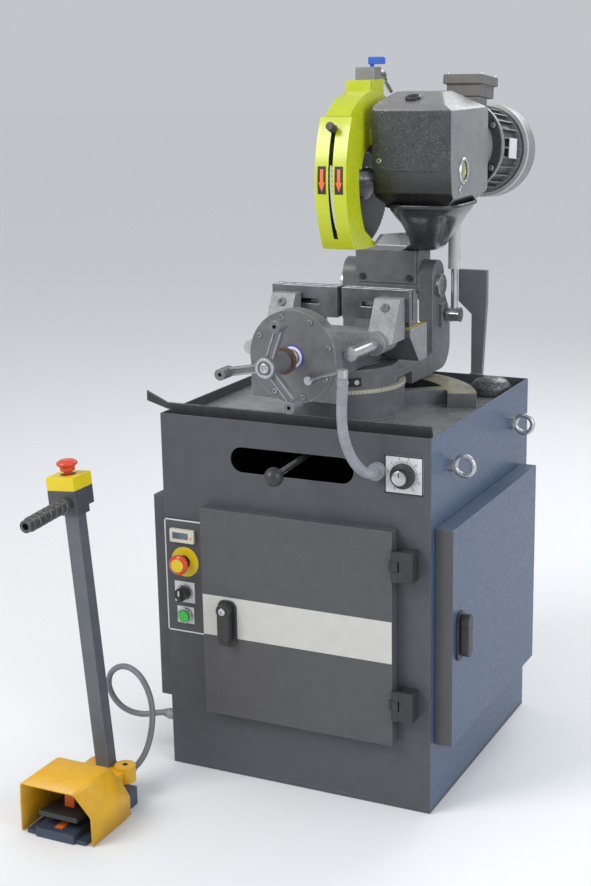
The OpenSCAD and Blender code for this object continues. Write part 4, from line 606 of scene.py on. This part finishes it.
# Motor, terminal box and coolant trim. The coolant's places are upright, the others lean with the head.
motor = {
    "bolts": 6, "boltRing": 84, "boltY": 192, "bolt": [(0, 0), (6, 0), (6, 5), (5, 6), (0, 6)],
    "cowlRear": 400, "cowlL": 55, "cowlRim": (90, 98.5, -2, 8), "slots": (24, 40, 56, 72, 86),
    "slotHalf": 3.5, "slotY": (-0.4, 0.8), "plate": ((212, 252, 45), (214.2, 298, 85)),
    "pad": ((113, 151, 65), (181, 197, 159.8)),
    "lidX": (112, 182), "lidY": (151, 229), "lidTop": 202.5, "glandPlace": (147, 229, 172),
    "gland": [(0, 0), (13, 0), (13, 7), (11, 8), (11, 17), (8, 20), (0, 20)],
    "fitting": ([(0, 0), (9, 0), (9, 8), (6, 9), (6, 20), (5, 22), (0, 22)], (13, 130, 1337),
                (0, 0.75, -0.66), 8), "pipe": ((13, 144, 1325), (20, 162, 1300), 4.5),
}


def buildMotorTrim():
    x, rear, rise = gear["motorX"], motor["cowlRear"], gear["rise"]
    buildPiece("motorPlate", "head", "plateWhite", (addBox, *motor["plate"]), turn=lean, bevel=0.5)
    ring = motor["boltRing"]
    spots = [leaned(x + ring * c, motor["boltY"], rise + ring * s) for c, s in circle(motor["bolts"], 0.5)]
    bolts = [(addLathe, motor["bolt"], p, -leanBack, 6) for p in spots]
    buildPiece("flangeBolts", "head", "zincSteel", *bolts)
    back, half = leaned(x, rear, rise), motor["slotHalf"]
    # black rings in place of the cowl's vent slots: painted shade in the openings
    buildPiece("cowlSlots", "head", "softBlack",
        *[(addRing, r - half, r + half, *motor["slotY"], back, leanBack, 56) for r in motor["slots"]])
    buildPiece("cowlRim", "head", "paleGrey",
        (addRing, *motor["cowlRim"], leaned(x, rear - motor["cowlL"], rise), leanBack, 64), bevel=1.2)
    buildPiece("motorPad", "head", "terminalGrey", (addBox, *motor["pad"]), turn=lean, bevel=2)
    lid = [leaned(a, b, motor["lidTop"]) for a in motor["lidX"] for b in motor["lidY"]]
    buildPiece("lidScrews", "head", "zincSteel", *[(addScrew, p, leanTop, 4.5, 3) for p in lid])
    buildPiece("boxGland", "head", "blackPlastic",
        (addLathe, motor["gland"], leaned(*motor["glandPlace"]), leanBack, 6))
    buildPiece("coolantFitting", "head", "zincSteel", (addLathe, *motor["fitting"]), (addRod, *motor["pipe"]))
    print("motor dressed")


buildMotorTrim()


# Guard cover: an arrow on a dark plate at each side of the slot, in degrees round the hinge
marks = {"hinge": (164, 1140), "r": 251, "plate": (172.6, 184.4), "plateLift": (0.05, 0.25), "x": (9, 26),
         "arrow": (173.8, 183.4), "arrowLift": (0.3, 0.2), "tipFrom": 0.58, "shaft": 3.2, "tip": 6.4,
         "point": 0.05}


def addCoverPatch(bm, xs, start, stop, lift, thick, steps=8):
    y, z = marks["hinge"]
    low, high = marks["r"] + lift, marks["r"] + lift + thick
    rings = []
    for k in range(steps + 1):
        t = math.radians(start + (stop - start) * k / steps)
        a, b = xs(k / steps)
        corners = ((a, low), (b, low), (b, high), (a, high))
        rings.append([bm.verts.new((x, y + r * math.cos(t), z + r * math.sin(t))) for x, r in corners])
    bridgeRings(bm, rings)


def buildMarks():
    bm = bmesh.new()
    for side in (-1, 1):
        ends = sorted(side * x for x in marks["x"])
        addCoverPatch(bm, lambda s: ends, *marks["plate"], *marks["plateLift"])
    makePiece("markPlates", bm, "guard_cover", "inkBlack", smooth=60)
    bm = bmesh.new()
    shaft, tip, point = marks["shaft"], marks["tip"], marks["point"]
    start, stop = marks["arrow"]
    tipAt = start + (stop - start) * marks["tipFrom"]
    for side in (-1, 1):
        mid = side * sum(marks["x"]) / 2
        addCoverPatch(bm, lambda s: (mid - shaft, mid + shaft), start, tipAt, *marks["arrowLift"])
        addCoverPatch(bm, lambda s: (mid - tip * (1 - s) - point, mid + tip * (1 - s) + point), tipAt, stop,
                      *marks["arrowLift"])
    makePiece("markArrows", bm, "guard_cover", "latchOrange", smooth=60)
    print("guard marked")


buildMarks()


# Front: door band, control panel, feed dial
front = {"face": -300, "band": (297, 378), "bandX": (-181.6, 209.6), "panel": ((-274, 284), (-190, 513)),
         "panelY": -278, "frame": 2.6, "controlX": -232.5, "stopZ": 429, "selectorZ": 367, "startZ": 320,
         "lamp": [(0, 0), (2.2, 0), (1.6, 1.2), (0, 1.6)],
         "stopTop": [(0, 0), (13.2, 0), (12.6, 0.8), (0, 1.2)], "counterZ": (468.5, 495.5),
         "screenZ": (476, 489), "lampZ": 479, "plateHole": 6.2}


def plateWithHole(bm, lo, hi, hole, centre, y0, y1):  # flat plate in x and z with a round hole
    steps, near, far = 24, 1e-6, 1e9
    ring = [(centre[0] + hole * c, centre[1] + hole * s) for c, s in circle(steps)]
    outer = []
    for x, z in ring:
        dx, dz = x - centre[0], z - centre[1]
        reach = min(((hi[0] if dx > 0 else lo[0]) - centre[0]) / dx if abs(dx) > near else far,
                    ((hi[1] if dz > 0 else lo[1]) - centre[1]) / dz if abs(dz) > near else far)
        outer.append((centre[0] + dx * reach, centre[1] + dz * reach))
    layers = [[[bm.verts.new((x, y, z)) for x, z in loop] for loop in (ring, outer)] for y in (y0, y1)]
    corners = [(x, z) for x in (lo[0], hi[0]) for z in (lo[1], hi[1])]
    for k in range(steps):
        j = (k + 1) % steps
        a, b = outer[k], outer[j]
        extra = [c for c in corners if (abs(a[0] - c[0]) < near and abs(b[1] - c[1]) < near)
                 or (abs(a[1] - c[1]) < near and abs(b[0] - c[0]) < near)]
        extra = [c for c in extra if abs(a[0] - b[0]) > near and abs(a[1] - b[1]) > near]
        chain, holeEdge = [], []
        for y, (inside, outside) in zip((y0, y1), layers):
            tips = [bm.verts.new((c[0], y, c[1])) for c in extra]
            chain.append([outside[k], *tips, outside[j]])
            holeEdge.append((inside[k], inside[j]))
            bm.faces.new([inside[k], *chain[-1], inside[j]])
        low, high = chain
        for m in range(len(low) - 1):
            bm.faces.new((low[m], low[m + 1], high[m + 1], high[m]))
        bm.faces.new((*holeEdge[0], *holeEdge[1][::-1]))


def buildFront():
    y, p, c, hole = front["face"], front["panelY"], front["controlX"], front["plateHole"]
    stop, select, start = front["stopZ"], front["selectorZ"], front["startZ"]
    (left, right), (low, high) = front["bandX"], front["band"]
    buildPiece("doorBand", "front_door", "bandGrey", (addBox, (left, y - 0.7, low), (right, y + 0.3, high)),
        bevel=0.25)
    buildPiece("panelFrame", "base", "plateWhite",
        (addFrame, *front["panel"], front["frame"], p - 0.5, p + 0.4))
    (low, high), (dark, light) = front["counterZ"], front["screenZ"]
    buildPiece("counterFrame", "base", "frameCream",
        (addPrism, roundedRect((c - 27, low), (c + 27, high), 2.5), "y", p - 7.5, p + 0.5), bevel=1.2)
    buildPiece("counterScreen", "base", "screenGrey",
        (addBox, (c - 20, p - 8, dark), (c + 14, p - 7, light)), bevel=0.3)
    buildPiece("counterLamp", "base", "latchOrange",
        (addLathe, front["lamp"], (c + 20, p - 7.4, front["lampZ"]), toFront, 14))
    buildPiece("stopDisc", "base", "signYellow",
        (addRing, 9.5, 30, 0, 1.2, (c + 2, p, stop), toFront, 48), bevel=0.3)
    buildPiece("stopCollar", "base", "blackPlastic", (addRing, 8.6, 13, 1, 2.6, (c, p, stop), toFront, 36))
    buildPiece("stopCentre", "panel_stop", "signYellow",
        (addLathe, front["stopTop"], (c, p - 29, stop), toFront, 36))
    buildPiece("controlPlates", "base", "plateWhite",  # selector and start button
        (plateWithHole, (c - 23, select - 21), (c + 21, select + 21), hole, (c, select), p - 1, p + 0.4),
        (plateWithHole, (c - 19, start - 17), (c + 18, start + 17), hole, (c, start), p - 1, p + 0.4))
    buildPiece("controlRings", "base", "zincSteel", (addRing, 11.6, 15.5, 0.8, 8, (c, p, start), toFront),
        (addRing, 13.6, 17, 0.8, 4.4, (c, p, select), toFront), bevel=0.6)
    buildPiece("selectorLine", "mode_selector", "plateWhite",
        (addBox, (c - 1.4, p - 27.6, select), (c + 1.4, p - 26.6, select + 10)))
    print("front dressed")


buildFront()

dial = {"place": (224, 649), "plate": ((187, 613.5), (261, 684.5)), "y": -275, "hole": 6.5, "border": 2.4,
        "first": 235, "sweep": 290, "numbers": 10, "numberR": 31.2, "numberSize": 6, "ticks": 28,
        "tickR": 24.2, "tickEnd": (28, 26.6), "tickHalf": 0.45, "top": -300.5,
        "cap": [(0, -0.5), (13.4, -0.5), (13.4, 0.3), (12.8, 0.7), (0, 0.7)]}


def addNumber(bm, number, turn):
    curve = bpy.data.curves.new("number", "FONT")
    curve.body, curve.size = str(number), dial["numberSize"]
    curve.align_x, curve.align_y = "CENTER", "CENTER"
    holder = bpy.data.objects.new("number", curve)
    scene.collection.objects.link(holder)
    bpy.context.view_layer.update()
    known = set(bm.verts)
    bm.from_mesh(holder.evaluated_get(bpy.context.evaluated_depsgraph_get()).to_mesh())
    bmesh.ops.transform(bm, matrix=turn, verts=[v for v in bm.verts if v not in known])
    bpy.data.objects.remove(holder)
    bpy.data.curves.remove(curve)


def buildDial():
    lo, hi = dial["plate"]
    y, top, (x, z) = dial["y"], dial["top"], dial["place"]
    buildPiece("dialPlate", "base", "plateWhite",
        (plateWithHole, lo, hi, dial["hole"], (x, z), y - 1, y + 0.3))
    bm = bmesh.new()  # border, ticks and plain numbers
    addFrame(bm, lo, hi, dial["border"], y - 1.25, y - 0.9)
    centre = Vector((x, y - 1.2, z))
    for k in range(dial["ticks"]):
        t = math.radians(dial["first"] - dial["sweep"] * k / (dial["ticks"] - 1))
        out = Vector((math.cos(t), 0, math.sin(t)))
        across = Vector((-math.sin(t), 0, math.cos(t))) * dial["tickHalf"]
        a, b = centre + out * dial["tickR"], centre + out * dial["tickEnd"][k % 3 != 0]
        bm.faces.new([bm.verts.new(q) for q in (a + across, a - across, b - across, b + across)])
    for k in range(dial["numbers"]):
        t = math.radians(dial["first"] - dial["sweep"] * k / (dial["numbers"] - 1))
        spot = (x + dial["numberR"] * math.cos(t), y - 1.2, z + dial["numberR"] * math.sin(t))
        addNumber(bm, k, Matrix.Translation(spot) @ Matrix.Rotation(math.pi / 2, 4, "X"))
    makePiece("dialMarks", bm, "base", "inkBlack")
    buildPiece("dialTop", "feed_dial", "zincSteel", (addLathe, dial["cap"], (x, top, z), toFront))
    buildPiece("dialPointer", "feed_dial", "inkBlack",
        (addBox, (x - 0.9, top - 1.1, z + 2), (x + 0.9, top - 0.4, z + 11)))
    print("dial dressed")


buildDial()


# Door handles: plates behind them. Only the front one has a lock, as the right one is the widest point.
handles = {
    "front": {"place": (-128, -300, 356), "turn": 0, "door": "front_door", "lock": "front_latch"},
    "right": {"place": (310, -219, 369), "turn": 90, "door": "right_door", "lock": None},
}
handle = {"plate": ((-20, -76), (20, 17), 15, 6), "plateY": (-4.4, 0.2),
          "lock": ([(0, 0), (7, 0), (7, 3), (6, 4), (2.6, 4), (2.2, 2), (0, 2)], (0, -22, 0), toFront, 28)}


def buildHandles():
    plate = (addPrism, roundedRect(*handle["plate"]), "y", *handle["plateY"])
    for name, h in handles.items():
        turn = placed(h["place"], h["turn"], "Z")
        buildPiece(name + "HandlePlate", h["door"], "blackPlastic", plate, turn=turn, bevel=1.2)
        if h["lock"]:
            buildPiece(name + "LockBarrel", h["lock"], "zincSteel", (addLathe, *handle["lock"]), turn=turn)
    print("handles dressed")


buildHandles()


# Vise: disc screws, seal, handwheel rails, jaw screws, and the bolts on the arm behind it
vise = {"z": 844, "face": -260, "screws": 8, "screwRing": 75, "screw": (5.2, 3), "firstTurn": 0.35,
        "lowX": 40, "lowZ": 775, "hub": -370, "washer": -288, "armTurns": (70, 190, 310),
        "railX": (20, 73), "railY": (-365.6, -362.6), "railZ": 5.9, "railHalf": 1.7,
        "bracket": (108, -82, 912), "bracketAxis": (0, -0.885, 0.465), "arm": (52, 180.5, 930),
        "bolt": [(0, 0), (7, 0), (7, 4), (6, 5), (0, 5)]}


def buildVise():
    z, y, ring = vise["z"], vise["face"], vise["screwRing"]
    spots = [(ring * c, y + 0.5, z + ring * s) for c, s in circle(vise["screws"], vise["firstTurn"])]
    spots += bothSides(vise["lowX"], y + 3.4, vise["lowZ"])
    buildPiece("discScrews", "base", "jawSteel", *[(addScrew, p, toFront, *vise["screw"]) for p in spots])
    buildPiece("sealRing", "base", "plateWhite", (addRing, 14.6, 20, -1, 2.2, (0, y, z), toFront), bevel=0.6)
    buildPiece("sealEdge", "base", "sealBlue", (addRing, 20, 22.4, -1, 1.4, (0, y, z), toFront))
    bm = bmesh.new()  # rails make the arms read as I-sections
    (x0, x1), (y0, y1), half = vise["railX"], vise["railY"], vise["railHalf"]
    for turn in vise["armTurns"]:
        pair = []
        for mid in (-vise["railZ"], vise["railZ"]):
            pair += addBox(bm, (x0, y0, mid - half), (x1, y1, mid + half))
        bmesh.ops.transform(bm, matrix=placed((0, 0, z), -turn, "Y"), verts=pair)
    makePiece("armRails", bm, "screw", "castingPaleAndLit", bevel=0.9)
    hub = (0, vise["hub"], z)
    buildPiece("hubRing", "screw", "zincSteel", (addRing, 13, 18, 0, 1.4, hub, toFront),
        (addScrew, hub, toFront, 9, 3), bevel=0.4)
    buildPiece("collarWasher", "screw", "frameCream",
        (addRing, 13.8, 21, 0, 4, (0, vise["washer"], z), toFront), bevel=0.6)
    buildPiece("bracketScrews", "carriage", "motorBlack",
        *[(addScrew, p, vise["bracketAxis"], 8.5, 3.4) for p in bothSides(*vise["bracket"])])
    buildPiece("armBolts", "head", "softBlack",
        *[(addLathe, vise["bolt"], p, toFront, 6) for p in bothSides(*vise["arm"])])
    print("vise dressed")


buildVise()


# Turntable: scale ring with ticks, vernier plate
scale = {"axis": (0, -30, 0), "rIn": 105.2, "rOut": 118.6, "z": (752, 759), "ticks": 96, "tickZ": 0.6,
         "tickTall": (5.4, 3.2), "tickOut": 0.2, "tickHalf": 0.35, "vernier": -59,
         "plate": ((100, -19, 765), (107, 19, 781)), "screwX": 106.6, "screwY": 10, "screwZ": 773}


def buildScale():
    place, r, low = scale["axis"], scale["rOut"], scale["z"][0] + scale["tickZ"]
    out, half = scale["tickOut"], scale["tickHalf"]
    buildPiece("scaleRing", "base", "scaleCream", (addRing, scale["rIn"], r, *scale["z"], place, toTop, 96),
        bevel=0.5)
    bm = bmesh.new()
    for k in range(scale["ticks"]):
        t = 2 * math.pi * k / scale["ticks"]
        tall = scale["tickTall"][k % 4 != 0]
        tick = addBox(bm, (r - out, -half, low), (r + out, half, low + tall))
        bmesh.ops.transform(bm, matrix=Matrix.Translation(place) @ Matrix.Rotation(t, 4, "Z"), verts=tick)
    makePiece("scaleTicks", bm, "base", "inkBlack")
    turn = placed(place, scale["vernier"], "Z")
    buildPiece("vernierPlate", "turntable", "inkBlack", (addBox, *scale["plate"]), turn=turn, bevel=0.8)
    spots = [(scale["screwX"], side * scale["screwY"], scale["screwZ"]) for side in (-1, 1)]
    buildPiece("vernierScrews", "turntable", "plateWhite", *[(addScrew, p, toRight, 4.6, 2) for p in spots],
        turn=turn)
    print("scale dressed")


buildScale()


# Pedal: hood as a moulded shell, ribs on the treadle, cable boots, stop button's collar and centre
pedal = {
    "x": -310, "y": (-637, -542, -500), "over": 23, "half": (78, 78, 74), "top": (58, 58, 52), "foot": 0.5,
    "knee": (56, 56, 36), "topZ": (110, 110, 66), "wall": 3, "round": 10, "roundFrom": 12,
    "mouthX": 63.5, "mouthZ": 41, "ribs": 12, "ribPitch": 8, "ribX": 34, "ribY": (-115, -111.5),
    "ribZ": (4.3, 5.8), "treadle": (-512, 30), "treadleLean": -5,
    "screw": ((-280, -448, 67.5), toTop, 4.8, 2), "boot": [(6.4, 0), (9, 0), (9, 4), (6.9, 12), (6.4, 12)],
    "bootEnds": [((-297, -252, 90), (-1, 0, -0.02)), ((-280, -427.9, 48), (0, 1, 0.01))],
    "tongue": ((-318, -632, 17.5), (-302, -606, 18.8)), "column": (-324, -446, 60), "columnLean": -4.5,
    "collar": (9, 15, -0.5, 0.4, (-5, 0, 575), toTop, 32),
    "stopTop": ([(0, 0), (13, 0), (12, 0.8), (0, 1.2)], (-5, 0, 601.8), toTop, 36),
}


def buildHood():
    bm = bmesh.new()
    x, foot = pedal["x"], pedal["foot"]
    rings = []
    for i, y in enumerate(pedal["y"]):
        w, t, k, h = (pedal[key][i] for key in ("half", "top", "knee", "topZ"))
        roof = y - (pedal["over"] if i == 0 else 0)
        outline = ((-w, y, foot), (-w, y, k), (-t, roof, h), (t, roof, h), (w, y, k), (w, y, foot))
        rings.append([bm.verts.new((x + dx, at, z)) for dx, at, z in outline])
    for low, high in zip(rings, rings[1:]):
        for j in range(5):
            bm.faces.new((low[j], low[j + 1], high[j + 1], high[j]))
    back, rear, mouth = rings[-1], pedal["y"][-1], pedal["mouthX"]  # the back is open over the housing
    tips = [bm.verts.new((x + dx, rear, pedal["mouthZ"])) for dx in (-mouth, mouth)]
    feet = [bm.verts.new((x + dx, rear, foot)) for dx in (-mouth, mouth)]
    bm.faces.new((back[0], back[1], tips[0], feet[0]))
    bm.faces.new((back[1], back[2], back[3], back[4], tips[1], tips[0]))
    bm.faces.new((back[4], back[5], feet[1], tips[1]))
    bmesh.ops.recalc_face_normals(bm, faces=bm.faces)
    bend = math.radians(pedal["roundFrom"])
    inner = [e for e in bm.edges if len(e.link_faces) == 2 and e.calc_face_angle() > bend]
    bmesh.ops.bevel(bm, geom=inner, offset=pedal["round"], segments=4, profile=0.5, affect="EDGES",
                    clamp_overlap=True)
    obj = makePiece("pedalHood", bm, "base", "pedalYellow", replaces=["pedal_hood"], smooth=50)
    wall = obj.modifiers.new("wall", "SOLIDIFY")
    wall.thickness, wall.offset = pedal["wall"] * mm, -1


def buildPedal():
    buildHood()
    wide, (y0, y1), (low, high) = pedal["ribX"], pedal["ribY"], pedal["ribZ"]
    steps = [k * pedal["ribPitch"] for k in range(pedal["ribs"])]
    tilt = placed((pedal["x"], *pedal["treadle"]), pedal["treadleLean"], "X")
    buildPiece("treadleRibs", "pedal_treadle", "softBlack",
        *[(addBox, (-wide, y0 + d, low), (wide, y1 + d, high)) for d in steps], turn=tilt, bevel=0.6)
    buildPiece("bossScrew", "base", "softBlack", (addScrew, *pedal["screw"]))
    buildPiece("cableBoots", "base", "cableGrey",
        *[(addLathe, pedal["boot"], place, axis, 24) for place, axis in pedal["bootEnds"]])
    buildPiece("latchTongue", "base", "latchOrange", (addBox, *pedal["tongue"]))
    post = placed(pedal["column"], pedal["columnLean"], "Y")
    buildPiece("boxCollar", "base", "blackPlastic", (addRing, *pedal["collar"]), turn=post)
    buildPiece("columnStopCentre", "column_stop", "stopRed", (addLathe, *pedal["stopTop"]), turn=post)
    print("pedal dressed")


buildPedal()


# Floor, lamps and world, in metres
stageSet = {
    "floor": (0.72, 0.725, 0.73), "floorRough": 0.6, "floorSize": 30, "floorZ": -0.0008,
    "aim": (0, -0.1, 0.75), "pale": (0.54, 0.56, 0.593), "sky": (0.92, 0.95, 1), "world": 0.8,
    "lamps": {  # place, size, power, colour
        "key": ((-1.9, -2.6, 2.9), 1.8, 95, (1, 0.985, 0.96)),
        "fill": ((3.2, -1.2, 1.9), 2.0, 60, (0.86, 0.93, 1)),
        "back": ((0.6, 2.6, 2.7), 1.6, 45, (1, 1, 1)),
    },
}


def buildFloor():
    bm = bmesh.new()
    bmesh.ops.create_grid(bm, x_segments=1, y_segments=1, size=stageSet["floorSize"])
    mesh = bpy.data.meshes.new("floor")
    bm.to_mesh(mesh)
    bm.free()
    floor = bpy.data.objects.new("floor", mesh)
    floor.location.z = stageSet["floorZ"]
    scene.collection.objects.link(floor)
    mat = bpy.data.materials.new("floor")
    mat.use_nodes = True
    shader = mat.node_tree.nodes["Principled BSDF"]
    shader.inputs["Base Color"].default_value = (*stageSet["floor"], 1)
    shader.inputs["Roughness"].default_value = stageSet["floorRough"]
    mesh.materials.append(mat)


def buildLights():
    for name, (place, size, power, colour) in stageSet["lamps"].items():
        data = bpy.data.lights.new(name, "AREA")
        data.energy, data.size, data.color = power, size, colour
        obj = bpy.data.objects.new(name, data)
        obj.location = place
        obj.rotation_euler = (Vector(stageSet["aim"]) - Vector(place)).to_track_quat("-Z", "Y").to_euler()
        scene.collection.objects.link(obj)
    world = bpy.data.worlds.new("studio")
    scene.world = world
    world.use_nodes = True
    tree = world.node_tree
    add, link = tree.nodes.new, tree.links.new
    sky = tree.nodes["Background"]
    sky.inputs["Color"].default_value = (*stageSet["sky"], 1)
    sky.inputs["Strength"].default_value = stageSet["world"]
    pale = add("ShaderNodeBackground")
    pale.inputs["Color"].default_value = (*stageSet["pale"], 1)
    path, blend = add("ShaderNodeLightPath"), add("ShaderNodeMixShader")
    seen = path.outputs["Is Camera Ray"]
    for ray in ("Is Glossy Ray", "Is Transmission Ray"):
        either = add("ShaderNodeMath")
        either.operation = "MAXIMUM"
        link(seen, either.inputs[0])
        link(path.outputs[ray], either.inputs[1])
        seen = either.outputs["Value"]
    link(seen, blend.inputs["Fac"])
    link(sky.outputs[0], blend.inputs[1])
    link(pale.outputs[0], blend.inputs[2])
    link(blend.outputs[0], tree.nodes["World Output"].inputs["Surface"])


buildFloor()
buildLights()
scene.view_settings.view_transform = "Standard"
print("stage set")

bpy.context.view_layer.update()
